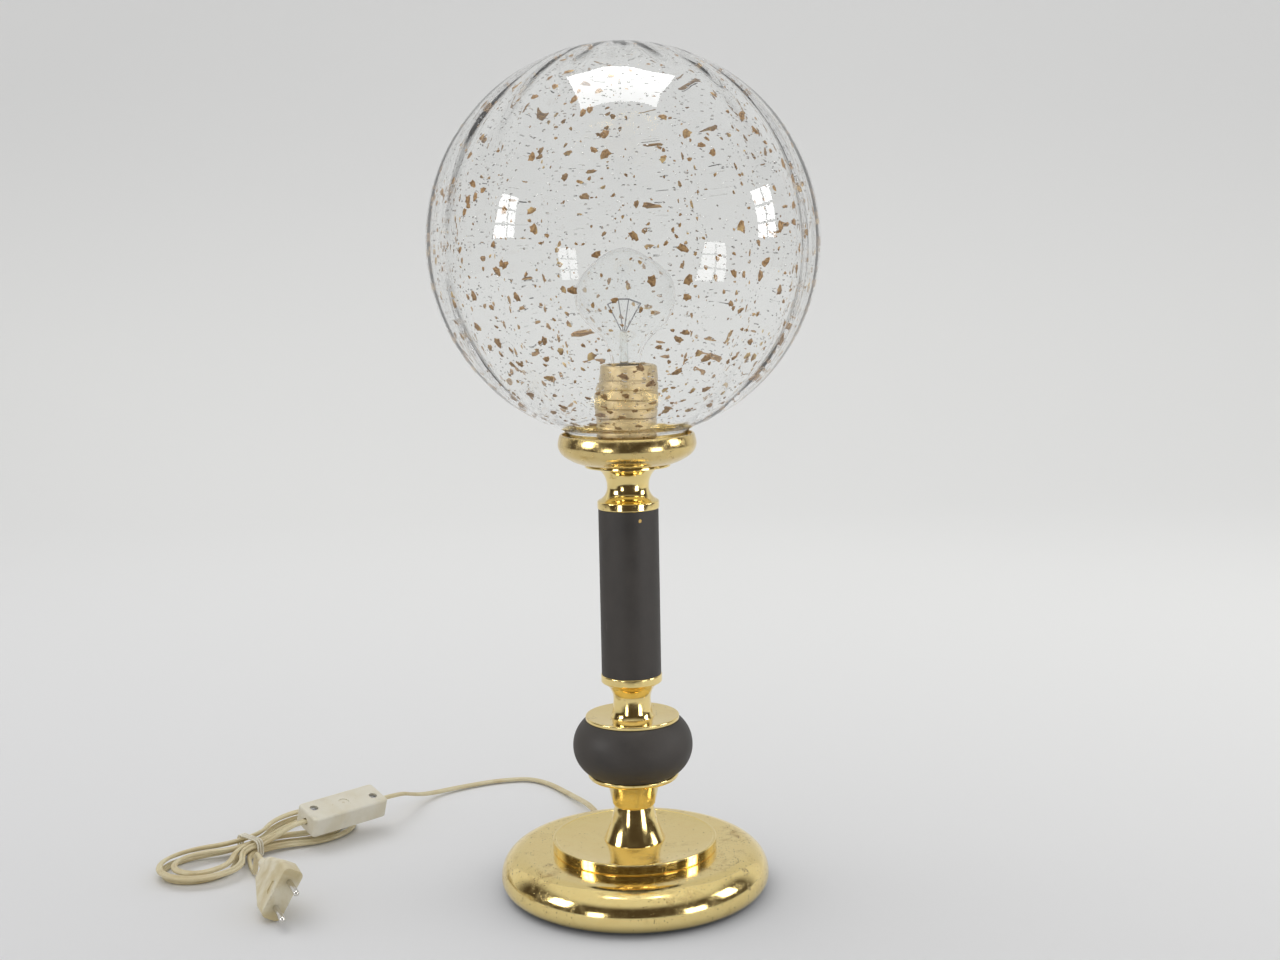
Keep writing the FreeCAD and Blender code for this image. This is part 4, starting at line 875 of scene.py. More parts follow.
@dataclass
class Studio:
    """The pale sweep, with painted shade and light in its paper's tone, the soft lights and the room round
    them.

    The dark part of the room fades out over two spans: dark_behind along Y and
    dark_below along Z, both of the direction looked in.
    """

    near_painted_shade: Colour = (0.745, 0.745, 0.755, 1.0)
    far_painted_light: Colour = (0.90, 0.90, 0.895, 1.0)
    wall_painted_tone: Colour = (0.835, 0.835, 0.835, 1.0)
    pale_room: Colour = (0.742, 0.742, 0.735, 1.0)
    dark_room: Colour = (0.065, 0.050, 0.038, 1.0)
    front: float = -0.55
    flat: float = 1.6
    bend: float = 1.4
    wall_top: float = 5.0
    width: float = 2.4
    reach: float = 9.0
    dark_behind: Point = (0.58, 0.30)
    dark_below: Point = (0.80, 0.52)
    lights: tuple[Softbox, ...] = (
        Softbox("window_left", (-1.55, -0.62, 0.80), 0.55, 0.62, 14.0, panes=(2, 3)),
        Softbox("window_near_left", (-0.85, -1.36, 0.14), 0.34, 0.46, 9.0, panes=(2, 3)),
        Softbox("window_near_right", (1.20, -1.05, 0.14), 0.50, 0.55, 9.0, panes=(2, 3)),
        Softbox("window_right", (1.60, -0.12, 0.75), 0.46, 0.60, 14.0, panes=(2, 3)),
        Softbox("ceiling_patch", (0.0, 0.10, 1.75), 0.80, 0.70, 9.0),
        Softbox("fill_back_left", (-0.9, 0.5, 1.9), 1.5, 1.5, 1.1, True),
        Softbox("fill_right", (1.7, 0.2, 1.3), 1.2, 1.2, 1.0, True),
    )

    def paper(self) -> Material:
        """Make the sweep's paper with painted shade and light: darkest along a line across the near left,
        lighter away from it and a tone of its own up the wall, standing in for how the light falls.

        Returns:
            The material.
        """
        graph = Surface("paper_sweep")
        place = graph.split(graph.place())
        # Painted shade and light: the paper's tone darkens towards the near left and changes up the wall in
        # place of the light's own fall-off.
        across = graph.math("ADD", graph.times(place[0], 0.6), graph.times(place[1], 0.8))
        away = graph.math("ABSOLUTE", graph.math("ADD", across, 0.5))
        floor = graph.blend(graph.span(away, 0.0, 1.8), self.near_painted_shade, self.far_painted_light)
        tone = graph.blend(graph.span(place[2], 0.15, 0.9), floor, self.wall_painted_tone)
        return graph.finish({"Base Color": tone, "Roughness": 0.85, "Specular IOR Level": 0.0,
                             "Normal": graph.bump(graph.noise(900.0, 2.0), 0.0001, 0.15)})

    def sweep(self) -> None:
        """Make the floor that curves up into the backdrop, and the aprons round it.

        Only the camera and glass see the aprons, so that the room beyond the
        table's edge stays dark in the brass.
        """
        curve = [(self.flat + self.bend * math.sin(a), self.bend - self.bend * math.cos(a))
                 for a in (math.pi / 2 * k / 24 for k in range(25))]
        rows = [(self.front, 0.0), (0.4, 0.0), *curve, (self.flat + self.bend, self.wall_top)]
        long_rows = [(-self.reach, 0.0), *rows]
        paper = self.paper()
        for name, line, left, right in (("sweep", rows, -self.width, self.width),
                                        ("apron_front", long_rows[:2], -self.width, self.width),
                                        ("apron_left", long_rows, -self.reach, -self.width),
                                        ("apron_right", long_rows, self.width, self.reach)):
            vertices = [(x, y, z) for y, z in line for x in (left, right)]
            panel = mesh_object(name, vertices, quads(len(line), 2, False, False), paper, 60.0)
            if name != "sweep":
                panel.visible_glossy = panel.visible_diffuse = panel.visible_shadow = False

    def room(self) -> None:
        """Light the room: pale all round, and dark behind the camera for reflections."""
        world = bpy.data.worlds.new("room")
        world.use_nodes = True
        bpy.context.scene.world = world
        graph = Graph(world.node_tree)
        way = graph.split(graph.add("ShaderNodeTexCoord").outputs["Generated"])
        ray = graph.add("ShaderNodeLightPath").outputs
        outside = graph.math("LESS_THAN", ray["Transmission Depth"], 0.5)
        seen = graph.times(graph.span(way["Y"], *self.dark_behind), graph.span(way["Z"], *self.dark_below),
                           outside, ray["Is Glossy Ray"])
        tone = graph.blend(seen, self.pale_room, self.dark_room)
        sky = graph.add("ShaderNodeBackground", {"Color": tone, "Strength": 1.0})
        graph.add("ShaderNodeOutputWorld", {"Surface": sky.outputs[0]})

    def build(self) -> None:
        """Set the whole studio up."""
        self.sweep()
        self.room()
        for light in self.lights:
            light.make()
        scene = bpy.context.scene
        scene.view_settings.view_transform = "Standard"
        for setting, value in (("max_bounces", 16), ("transmission_bounces", 16),
                               ("transparent_max_bounces", 16), ("glossy_bounces", 6),
                               ("sample_clamp_indirect", 6.0), ("caustics_reflective", False),
                               ("caustics_refractive", False)):
            setattr(scene.cycles, setting, value)


# ---------------------------------------------------------------- the flex
def level(degrees: float) -> Vector:
    """Give the level unit vector of a heading."""
    return Vector((math.cos(math.radians(degrees)), math.sin(math.radians(degrees)), 0.0))


def right_of(heading: Vector) -> Vector:
    """Give the level unit vector to the right of a heading."""
    return Vector((heading.y, -heading.x, 0.0))


@dataclass(frozen=True)
class Seat:
    """Where the switch lies or the plug leans, in millimetres."""

    place: Place
    axis: Vector
    tail: float

    def along(self, reach: float) -> Vector:
        """Give the point at a distance along the axis."""
        return Vector(self.place) + self.axis * reach


@dataclass(frozen=True)
class Hank:
    """The bundle of turns, spiralling in, up a layer and out again, in millimetres."""

    place: Place = (-277.0, 72.0, 0.0)
    loops: int = 3
    waist: float = 48.0
    ends: Point = (54.0, 50.0)
    reaches: Point = (60.0, -44.0)
    radii: Point = (18.0, 15.6)
    pitches: Point = (7.6, 10.0)
    lane: float = 5.8
    floor: float = 2.3
    layer: float = 5.2
    lift: float = 2.0
    stray: float = 1.3

    def depth(self, run: int) -> float:
        """Count the turns between a run and the innermost."""
        return abs(run - self.loops) / 2

    def rise(self, run: int, share: float) -> float:
        """Give a run's height."""
        climbed = share if run == self.loops else float(run > self.loops)
        return self.floor + climbed * self.layer

    def at_waist(self, run: int) -> tuple[Vector, Vector]:
        """Give the point and heading where a run passes the tie.

        Args:
            run: the run's number.

        Returns:
            The point and the heading.
        """
        side = 1 if run % 2 == 0 else -1
        middle = 1 if self.loops % 2 == 0 else -1
        across = side * self.lane * (0.25 + self.depth(run)) + middle * self.lane / 4
        heading = level(self.waist)
        point = Vector(self.place) + right_of(heading) * across
        return point + Vector((0, 0, self.rise(run, 0.5) + self.lift)), heading * side

    def at_end(self, run: int, back: bool) -> tuple[Vector, Vector]:
        """Give the point and heading where a run meets a half turn.

        Args:
            run: the run's number.
            back: whether it is the far end.

        Returns:
            The point and the heading.
        """
        side = 1 if run % 2 == 0 else -1
        which = 0 if back else 1
        heading = level(self.ends[which])
        radius = self.radii[which] + self.depth(run) * self.pitches[which]
        wander = self.stray * math.sin(2.1 * run + (0.7 if back else 2.4))
        share = float(back == (side > 0))
        point = Vector(self.place) + heading * (self.reaches[which] + wander)
        point += right_of(heading) * (side * (radius + 0.5 * wander))
        return point + Vector((0, 0, self.rise(run, share))), heading * side

    @staticmethod
    def corners(start: Vector, out: Vector, end: Vector, into: Vector) -> list[Vector]:
        """Give the two control points between two headings.

        Args:
            start: the first point.
            out: the heading there.
            end: the last point.
            into: the heading there.

        Returns:
            The control points.
        """
        gap = end - start
        both = out + into
        closing = 2 * (1 - out.dot(into))
        along = gap.dot(both)
        if closing < 1e-9:
            reach = gap.length_squared / (2 * along)
        else:
            reach = (math.sqrt(along ** 2 + closing * gap.length_squared) - along) / closing
        return [start + out * reach, end - into * reach]

    def turn(self, start: Vector, out: Vector, end: Vector) -> list[Vector]:
        """Give the control points of a half turn.

        Args:
            start: where it starts.
            out: the heading there.
            end: where it ends.

        Returns:
            The control points.
        """
        centre = (start + end) * 0.5
        arm = (start - end) * 0.5
        reach = arm.length / math.cos(math.radians(22.5))
        side = arm.normalized()
        angles = [math.radians(22.5 + 45.0 * k) for k in range(4)]
        return [centre + side * (reach * math.cos(a)) + out * (reach * math.sin(a)) for a in angles]

    def route(self) -> list[Vector]:
        """Give the control points from the plug's end of the hank to the switch's.

        Returns:
            The control points.
        """
        points = [self.at_waist(0)[0]]
        last = 2 * self.loops
        for run in range(last + 1):
            back = run % 2 == 0
            start, out = self.at_end(run, not back)
            middle, through = self.at_waist(run)
            end, into = self.at_end(run, back)
            if run > 0:
                points += self.corners(start, out, middle, through)
            if run < last:
                points += self.corners(middle, through, end, into)
                points += self.turn(end, into, self.at_end(run + 1, back)[0])
        return points + [self.at_waist(last)[0]]


@dataclass
class FlatFlex:
    """A stretch of the flat twin flex, laid along a smooth line, in millimetres."""

    shop: Workshop
    name: str
    route: list[Vector]
    nodes: tuple[str, ...]
    roll: Callable[[float], float]
    width: float = 4.6
    thickness: float = 2.7
    groove: float = 0.35
    web: float = 0.66
    around: int = 22

    def line(self) -> list[Vector]:
        """Read the smooth line off the route.

        Returns:
            Points along it, in metres.
        """
        curve = bpy.data.curves.new(self.name + "_line", "CURVE")
        curve.dimensions = "3D"
        curve.resolution_u = 9
        spline = curve.splines.new("NURBS")
        spline.points.add(len(self.route) - 1)
        for point, place in zip(spline.points, self.route):
            point.co = (*(place * MM), 1.0)
        spline.order_u = 3
        spline.use_endpoint_u = True
        guide = bpy.data.objects.new(self.name + "_line", curve)
        bpy.context.scene.collection.objects.link(guide)
        mesh = baked(guide)
        points = [vertex.co.copy() for vertex in mesh.vertices]
        bpy.data.objects.remove(guide)
        bpy.data.meshes.remove(mesh)
        return points

    def section(self) -> list[Point]:
        """Give the flex's section: two cores side by side, with a groove between.

        Returns:
            Points (across, up) in metres.
        """
        core = self.thickness / 2
        offset = self.width / 2 - core
        points = []
        for step in range(self.around):
            angle = 2 * math.pi * step / self.around
            x = self.width / 2 * math.cos(angle)
            height = core * self.web
            if abs(x) > self.groove:
                height = math.sqrt(max(0.0, core ** 2 - (abs(x) - offset) ** 2))
            points.append((x * MM, math.copysign(height, math.sin(angle)) * MM))
        return points

    def build(self) -> tuple[Thing, list[Vector]]:
        """Make the flex.

        Returns:
            The piece and the points of its line.
        """
        points = self.line()
        section = self.section()
        vertices: list[Vector] = []
        gone = 0.0
        for i, point in enumerate(points):
            ahead = (points[min(i + 1, len(points) - 1)] - points[max(i - 1, 0)]).normalized()
            side = ahead.cross(Vector((0, 0, 1))).normalized()
            up = side.cross(ahead)
            if i:
                gone += (point - points[i - 1]).length
            turn = self.roll(gone / MM)
            across = side * math.cos(turn) + up * math.sin(turn)
            over = up * math.cos(turn) - side * math.sin(turn)
            vertices += [point + across * x + over * z for x, z in section]
        count, last = self.around, (len(points) - 1) * self.around
        faces = quads(len(points), count, False, True)
        faces += [tuple(range(count)), tuple(last + k for k in reversed(range(count)))]
        flex = mesh_object(self.name, vertices, faces, self.shop.finishes["ivory_flex"], 50.0)
        self.shop.seat(flex, Body.LAMP, "flex_ivory", *self.nodes)
        return flex, points


@dataclass
class Flex:
    """The whole flex outside the lamp, with what is on it, in millimetres and degrees."""

    shop: Workshop
    switch: Seat = Seat((-215.2, 101.0, 21.6), level(44.0).freeze(), 28.0)
    plug: Seat = Seat((-227.8, -49.0, 18.0), Vector((-0.436676, 0.895296, 0.087156)).freeze(), 52.0)
    hank: Hank = Hank()
    lead: tuple[Place, ...] = ((-46.0, 176.0, 2.3), (-77.0, 224.0, 2.3), (-108.0, 222.0, 2.3),
                               (-140.0, 206.0, 2.3), (-163.0, 184.0, 4.5), (-172.0, 162.0, 12.0))
    landing: Place = (-268.0, 37.0, 2.3)
    base_radius: float = 90.0
    exit_height: float = 9.0
    exit_azimuth: float = 103.0
    course: float = 112.0

    def lead_route(self) -> list[Vector]:
        """Give the route over the floor, from the base to the switch.

        Returns:
            The control points.
        """
        out = level(self.exit_azimuth)
        lift = Vector((0, 0, self.exit_height))
        return [
            out * (self.base_radius - 1.0) + lift,
            out * (self.base_radius + 44.0) + lift,
            *map(Vector, self.lead),
            self.switch.along(self.switch.tail + 24.0),
            self.switch.along(self.switch.tail),
        ]

    def hank_route(self) -> list[Vector]:
        """Give the route from the switch through the hank to the plug.

        Returns:
            The control points.
        """
        socket = self.switch.tail
        end, heading = self.hank.at_waist(2 * self.hank.loops)
        entry = self.switch.along(-socket - 5.0)
        link = self.hank.corners(end, heading, entry, self.switch.axis)
        start, first = self.hank.at_waist(0)
        tip = self.plug.along(self.plug.tail)
        bend = self.plug.along(self.plug.tail + 4.6)
        landing, course = Vector(self.landing), level(self.course)
        tail = self.hank.corners(bend, self.plug.axis, landing, course)
        tail += self.hank.corners(landing, course, start, first)
        forwards = [tip, bend] + tail + self.hank.route()[1:-1] + link + [entry, self.switch.along(-socket)]
        return forwards[::-1]

    @staticmethod
    def length_of(points: Sequence[Vector]) -> float:
        """Measure a line, in metres."""
        return sum((b - a).length for a, b in zip(points, points[1:]))

    def build(self) -> None:
        """Make the flex and name what is on it."""
        lead, path = FlatFlex(self.shop, "flex_lead", self.lead_route(), ("cord_lead",), self.sway).build()
        rest, line = FlatFlex(self.shop, "flex_hank", self.hank_route(),
                              ("cord_link", "cord_hank", "cord_tail"), self.tumble).build()
        LOG.info("flex: %.3f m and %.3f m", self.length_of(path), self.length_of(line))
        self.shop.paint(
            cord_bush="ivory_flex", switch_back="ivory_switch", switch_front="ivory_switch",
            switch_rocker="ivory_switch", switch_screws="zinc_steel", switch_terminals="brass_inner",
            switch_cord_grips="ivory_switch", hank_tie="tie_plastic", plug_body="ivory_plug",
            plug_pins="nickel_pins", inner_cord="ivory_flex")

    @staticmethod
    def sway(gone: float) -> float:
        """Give how far the lead has rolled, in radians, at a distance in millimetres."""
        return 0.10 * math.sin(gone / 31.0) * min(1.0, gone / 60.0)

    @staticmethod
    def tumble(gone: float) -> float:
        """Give how far the flex has rolled in the hank, in radians, at a distance in millimetres."""
        ease = min(1.0, gone / 40.0)
        return ease * (0.9 * math.sin(gone / 83.0) + 0.55 * math.sin(gone / 37.0 + 1.0))


# ---------------------------------------------------------------- foot and column
@dataclass
class Foot:
    """The base's brass cover and the stepped disc on it, in millimetres."""

    shop: Workshop
    hole: float = 5.25
    radius: float = 90.0
    shoulder: float = 73.0
    top: float = 28.0
    wall: float = 1.5
    disc_radius: float = 55.0
    disc_top: float = 35.0

    def shell(self) -> None:
        """Make the base's cover."""
        inner, under = self.radius - self.wall, self.top - self.wall
        line = Outline(self.hole, self.top).line(self.shoulder, self.top).curve(self.radius, 11.0)
        line.line(self.radius, 10.5).curve(81.0, self.wall).line(81.0, 2 * self.wall).face(0)
        line.curve(inner, 10.5).line(inner, 11.0).curve(self.shoulder, under).line(self.hole, under)
        self.shop.turned("base_cover", line, "brass_base", "brass", "base_shell", 240, 0.3)

    def disc(self) -> None:
        """Make the stepped disc."""
        rim, top = self.disc_radius, self.disc_top
        line = Outline(self.hole, self.top).line(54.2, self.top).curve(rim, 28.8).line(rim, 34.2)
        line.curve(54.2, top).line(53.0, top).line(52.5, 34.6).face(185.0)
        line.curve(20.8, 33.4).line(self.hole, 33.4)
        self.shop.turned("step", line, "brass_disc", "brass", "step_disc", 200, 0.3)

    def build(self) -> None:
        """Make the foot."""
        self.shell()
        self.disc()
        self.shop.paint(base_pad="felt", base_weight="cast_iron", base_washer="zinc_steel",
                        base_nut="zinc_steel")


@dataclass
class Column:
    """The turned pieces between the foot and the gallery, in millimetres."""

    shop: Workshop
    hole: float = 5.25
    foot: float = 33.4
    bell_top: float = 76.2
    ball_foot: float = 80.0
    ball_top: float = 116.4
    ball_radius: float = 40.0
    ball_side: float = 24.0
    cap_seat: float = 118.3
    tube_foot: float = 147.4
    tube_top: float = 258.4
    tube_radius: float = 19.8
    plug_radius: float = 18.3
    plug_depth: float = 6.0
    top: float = 287.6

    def lower(self) -> None:
        """Make the bell, the ball and the cups on each side of it."""
        bell = Outline(self.hole, self.foot).line(20.7, self.foot).face(110).curve(20.0, 35.0).face(117)
        bell.curve(14.1, 51.9).curve(12.8, 56.8).face(30).curve(14.5, 59.2).face(78)
        bell.curve(18.2, self.bell_top).line(self.hole, self.bell_top)
        self.shop.turned("bell", bell, "brass_column", "brass", "bell_spindle")
        cup = Outline(self.hole, self.bell_top).line(27.8, self.bell_top).curve(30.4, 78.6)
        cup.line(30.4, 79.4).line(29.8, self.ball_foot).line(self.hole, self.ball_foot)
        self.shop.turned("cup_under_ball", cup, "brass_column", "brass", "lower_cup")
        half = (self.ball_top - self.ball_foot) / 2
        reach = self.ball_radius - self.ball_side + math.sqrt(self.ball_side ** 2 - half ** 2)
        ball = Outline(self.hole, self.ball_foot).line(29.6, self.ball_foot).face(32.1)
        ball.curve(self.ball_radius, 98.8).face(90).curve(reach, self.ball_top)
        self.shop.turned("dark_ball", ball.line(self.hole, self.ball_top), "brown_ball", "brown_wood",
                         "ball")
        cap = Outline(self.hole, self.ball_top).line(30.6, self.ball_top).curve(31.3, 117.1)
        cap.line(31.3, 118.4).curve(30.6, 119.1).line(29.7, 119.1).face(184)
        cap.curve(15.8, self.cap_seat).line(self.hole, self.cap_seat)
        self.shop.turned("cup_over_ball", cap, "brass_column", "brass", "upper_cup")

    def upper(self) -> None:
        """Make the spindle, the tube and the neck."""
        low, high, plug = self.tube_foot, self.tube_top, self.plug_radius
        spindle = Outline(self.hole, self.cap_seat).line(14.8, self.cap_seat).face(126)
        spindle.curve(13.2, 121.4).face(98).curve(12.4, 130.52).face(90)
        spindle.curve(19.5, 141.8).line(20.3, 142.6).line(20.3, 146.6).curve(19.5, low)
        spindle.line(plug, low).line(plug, low + self.plug_depth).line(self.hole, low + self.plug_depth)
        self.shop.turned("spindle", spindle, "brass_column", "brass", "middle_spindle")
        tube = Outline(18.6, low).line(self.tube_radius, low).line(self.tube_radius, high).line(18.6, high)
        self.shop.turned("dark_tube", tube, "brown_tube", "brown_paint", "stem_tube")
        neck = Outline(self.hole, high - self.plug_depth).line(plug, high - self.plug_depth)
        neck.line(plug, high).line(19.5, high).curve(20.3, 259.2).line(20.3, 263.2).line(19.5, 264.0)
        neck.face(157).curve(13.8, 273.58).face(90).curve(16.5, 281.8).curve(22.0, 286.2)
        neck.line(28.0, 286.2).line(28.0, self.top).line(self.hole, self.top)
        self.shop.turned("neck", neck, "brass_column", "brass", "upper_neck")

    def build(self) -> None:
        """Make the column."""
        self.lower()
        self.upper()
        self.shop.paint(threaded_rod="zinc_steel")


# ---------------------------------------------------------------- gallery and lampholder
@dataclass
class Gallery:
    """The ring that carries the globe, with the lampholder in it, in millimetres."""

    shop: Workshop
    hole: float = 5.25
    foot: float = 287.6
    rim: float = 307.8
    holder_foot: float = 295.4
    holder_radius: float = 19.4
    joint: float = 310.4
    holder_top: float = 352.4
    grooves: int = 5

    def ring(self) -> None:
        """Make the gallery ring."""
        line = Outline(self.hole, self.foot).line(26.5, self.foot).face(8).curve(41.3, 293.66)
        line.curve(45.3, 300.53).face(90).curve(44.1, 307.1).line(43.5, self.rim).line(42.3, self.rim)
        line.line(42.3, 295.8).line(29.0, 295.8).line(28.0, 289.4).line(self.hole, 289.4)
        self.shop.turned("gallery_ring", line, "brass_gallery", "brass", "gallery", 200, 0.3)

    def holder(self) -> None:
        """Make the lampholder's two outer parts."""
        side, joint = self.holder_radius, self.joint
        cap = Outline(self.hole, self.holder_foot).line(9.0, self.holder_foot).line(9.0, 299.4).face(0)
        cap.curve(side, 308.0).line(side, joint).line(18.4, joint).line(18.4, 308.0).face(-90)
        cap.curve(9.0, 300.4).line(self.hole, 300.4)
        self.shop.turned("holder_dome", cap, "brass_holder", "brass", "holder_cap", 96, 0.2)
        sleeve = Outline(side, joint).line(19.7, joint).face(50).curve(19.7, 312.8).line(side, 312.8)
        for groove in range(self.grooves):
            foot = 316.6 + groove * 6.0
            sleeve.line(side, foot).line(19.0, foot + 0.6).line(19.0, foot + 1.6).line(side, foot + 2.2)
        sleeve.line(side, 350.9).face(90).curve(17.9, self.holder_top).line(15.3, self.holder_top)
        sleeve.line(15.3, 351.4).line(18.4, 350.8).line(18.4, joint)
        self.shop.turned("holder_sleeve", sleeve, "brass_holder", "brass", "holder_shell", 96, 0.2)

    def build(self) -> None:
        """Make the gallery and paint what is inside it."""
        self.ring()
        self.holder()
        self.shop.paint(
            gallery_washer="zinc_steel", gallery_nut="brass_inner", globe_seat="seat_rubber",
            holder_insulator="porcelain", holder_liner="brass_inner", holder_contact="brass_inner",
            holder_terminals="brass_inner")


# ---------------------------------------------------------------- bulb
@dataclass
class Bulb:
    """The clear bulb and its screw cap, in millimetres."""

    shop: Workshop
    bottom: float = 322.5
    length: float = 105.0
    radius: float = 30.0
    pitch: float = 3.629
    neck: float = 11.9
    wall: float = 0.8
    thread_radius: float = 12.6
    thread_depth: float = 0.55

    def skin(self, inset: float) -> list[complex]:
        """Draw one skin of the glass, from its foot to its pole.

        Args:
            inset: how far inside the outer skin it lies.

        Returns:
            The points.
        """
        foot = self.bottom + 20.4
        belly = self.bottom + self.length - self.radius
        neck = self.neck - inset
        start = foot + 9.0
        line = Outline(neck, foot).line(neck, start)
        line.curve(neck + (self.radius - inset - neck) * 0.45, start + (belly - start) * 0.45)
        line.curve(self.radius - inset, belly).face(90)
        return line.curve(0.0, self.bottom + self.length - inset).points

    def glass(self) -> None:
        """Make the envelope."""
        outer, inner = self.skin(0.0), self.skin(self.wall)
        envelope = spun("bulb_envelope", outer + inner[::-1], self.shop.finishes["bulb_glass"], 96)
        self.shop.seat(envelope, Body.BULB, "bulb_glass", "bulb_glass")

    def cap(self) -> None:
        """Make the rolled screw cap, with its thread."""
        foot, top = self.bottom + 4.4, self.bottom + 26.4
        low, high = foot + 2.4, top - 4.5
        rows, side = 60, self.thread_radius
        line = Outline(8.5, foot).line(12.5, low)
        for row in range(1, rows + 1):
            line.line(side, low + (high - low) * row / rows)
        line.line(12.8, high + 1.0).line(12.8, top).line(12.4, top).line(12.4, high + 1.0)
        line.line(12.1, high).line(12.1, low + 0.4).line(8.5, foot + 0.4)

        def thread(r: float, z: float, angle: float) -> float:
            """Give the thread's rise on the cap's side.

            Args:
                r: radius.
                z: height.
                angle: the way round.

            Returns:
                The change of radius.
            """
            if not low < z < high or r < side - 0.05:
                return 0.0
            fade = min(1.0, (z - low) / 1.2, (high - z) / 1.2)
            return self.thread_depth * fade * math.sin(2 * math.pi * (z / self.pitch) - angle)

        cap = spun("bulb_screw", line.points, self.shop.finishes["rolled_aluminium"], 72, thread)
        self.shop.seat(cap, Body.BULB, "cap_metal", "bulb_cap")

    def build(self) -> None:
        """Make the bulb and paint its small parts."""
        self.glass()
        self.cap()
        self.shop.paint(bulb_mount="stem_glass", bulb_filament="dark_wire",
                        bulb_cap_insulator="black_glass", bulb_contact="solder")


# ---------------------------------------------------------------- globe
@dataclass
class FlakeSpray:
    """Flakes strewn over the globe by a node tree.

    The radius and the centre's height are in millimetres, the density in points
    to the square metre and the largest flake in metres.
    """

    shop: Workshop
    name: str
    radius: float
    centre: float
    density: float
    largest: float
    seed: int
    lowest: float = -69.0
    shapes: int = 4
    crowding: Point = (1.9, 0.45)
    smallest: float = 0.36
    rarity: float = 1.35
    tilt: float = 0.03

    def source(self, number: int) -> Thing:
        """Make one flake's shape, a thin ragged chip about a unit across.

        Args:
            number: which shape.

        Returns:
            The flake.
        """
        count = 11
        edge = []
        for k in range(count):
            angle = 2 * math.pi * k / count
            reach = 0.5 + 0.10 * math.sin(2 * angle + number * 1.9)
            reach += 0.09 * math.sin(5 * angle + number * 3.1)
            reach += 0.06 * math.cos(3 * angle + number)
            edge.append((reach * math.cos(angle), reach * math.sin(angle) * (0.72 + 0.07 * number)))
        vertices = [(x, y, 0.0) for x, y in edge]
        vertices += [(x * 0.7, y * 0.7, z) for z in (0.045, -0.045) for x, y in edge]
        vertices += [(0.05, 0.0, 0.055), (0.05, 0.0, -0.055)]
        faces = []
        for k in range(count):
            j = (k + 1) % count
            faces += [(k, j, count + j, count + k), (j, k, 2 * count + k, 2 * count + j)]
            faces += [(count + k, count + j, 3 * count), (2 * count + j, 2 * count + k, 3 * count + 1)]
        return mesh_object(f"{self.name}_chip_{number}", vertices, faces, self.shop.finishes["gold_flakes"])

    def carrier(self) -> Thing:
        """Make the sphere that the flakes are strewn on.

        Returns:
            The sphere.
        """
        low = math.radians(self.lowest)
        steps, around = 48, 64
        points = []
        for k in range(steps + 1):
            angle = math.pi / 2 + (low - math.pi / 2) * k / steps
            points.append(complex(0.0, self.centre) + cmath.rect(self.radius, angle))
        return mesh_object(self.name, rings(points, around), quads(around, steps + 1, True, False),
                           self.shop.finishes["gold_flakes"])

    def tree(self, chips: bpy.types.Collection) -> tuple[bpy.types.GeometryNodeTree, dict[str, str]]:
        """Build the node tree that strews the flakes.

        Args:
            chips: the flakes' shapes.

        Returns:
            The tree and its inputs' identifiers by name.
        """
        graph = Graph(bpy.data.node_groups.new(self.name + "_spray", "GeometryNodeTree"))
        face = graph.tree.interface
        face.new_socket("Geometry", in_out="INPUT", socket_type="NodeSocketGeometry")
        names = {title: face.new_socket(title, in_out="INPUT", socket_type=kind).identifier
                 for title, kind in (("Density", "NodeSocketFloat"), ("Largest", "NodeSocketFloat"),
                                     ("Seed", "NodeSocketInt"))}
        face.new_socket("Geometry", in_out="OUTPUT", socket_type="NodeSocketGeometry")
        entry = graph.add("NodeGroupInput").outputs
        height = graph.split(graph.add("GeometryNodeInputPosition").outputs[0])["Z"]
        thicker = graph.span(height, (self.centre - self.radius) * MM, (self.centre + self.radius) * MM,
                             self.crowding[0], self.crowding[1], "LINEAR")
        strew = graph.add("GeometryNodeDistributePointsOnFaces",
                          {"Mesh": entry["Geometry"], "Seed": entry["Seed"],
                           "Density": graph.times(thicker, entry["Density"])}).outputs
        pool = graph.add("GeometryNodeCollectionInfo", {"Collection": chips, "Separate Children": True,
                                                        "Reset Children": True})
        which = graph.add("FunctionNodeRandomValue", {4: 0, 5: self.shapes - 1}, data_type="INT")
        draw = graph.add("FunctionNodeRandomValue", {2: 0.0, 3: 1.0}, data_type="FLOAT")
        size = graph.span(graph.math("POWER", draw.outputs[1], self.rarity), 0.0, 1.0, self.smallest, 1.0,
                          "LINEAR")
        put = graph.add("GeometryNodeInstanceOnPoints",
                        {"Points": strew["Points"], "Instance": pool.outputs[0], "Pick Instance": True,
                         "Instance Index": which.outputs[2], "Rotation": strew["Rotation"],
                         "Scale": graph.times(size, entry["Largest"])})
        turn = graph.add("FunctionNodeRandomValue", {0: (-self.tilt, -self.tilt, 0.0),
                                                     1: (self.tilt, self.tilt, 6.28)},
                         data_type="FLOAT_VECTOR")
        spin = graph.add("GeometryNodeRotateInstances",
                         {"Instances": put.outputs[0], "Rotation": turn.outputs[0]})
        real = graph.add("GeometryNodeRealizeInstances", {0: spin.outputs[0]})
        coat = graph.add("GeometryNodeSetMaterial", {"Geometry": real.outputs[0],
                                                     "Material": self.shop.finishes["gold_flakes"]})
        graph.add("NodeGroupOutput", {0: coat.outputs[0]})
        return graph.tree, names

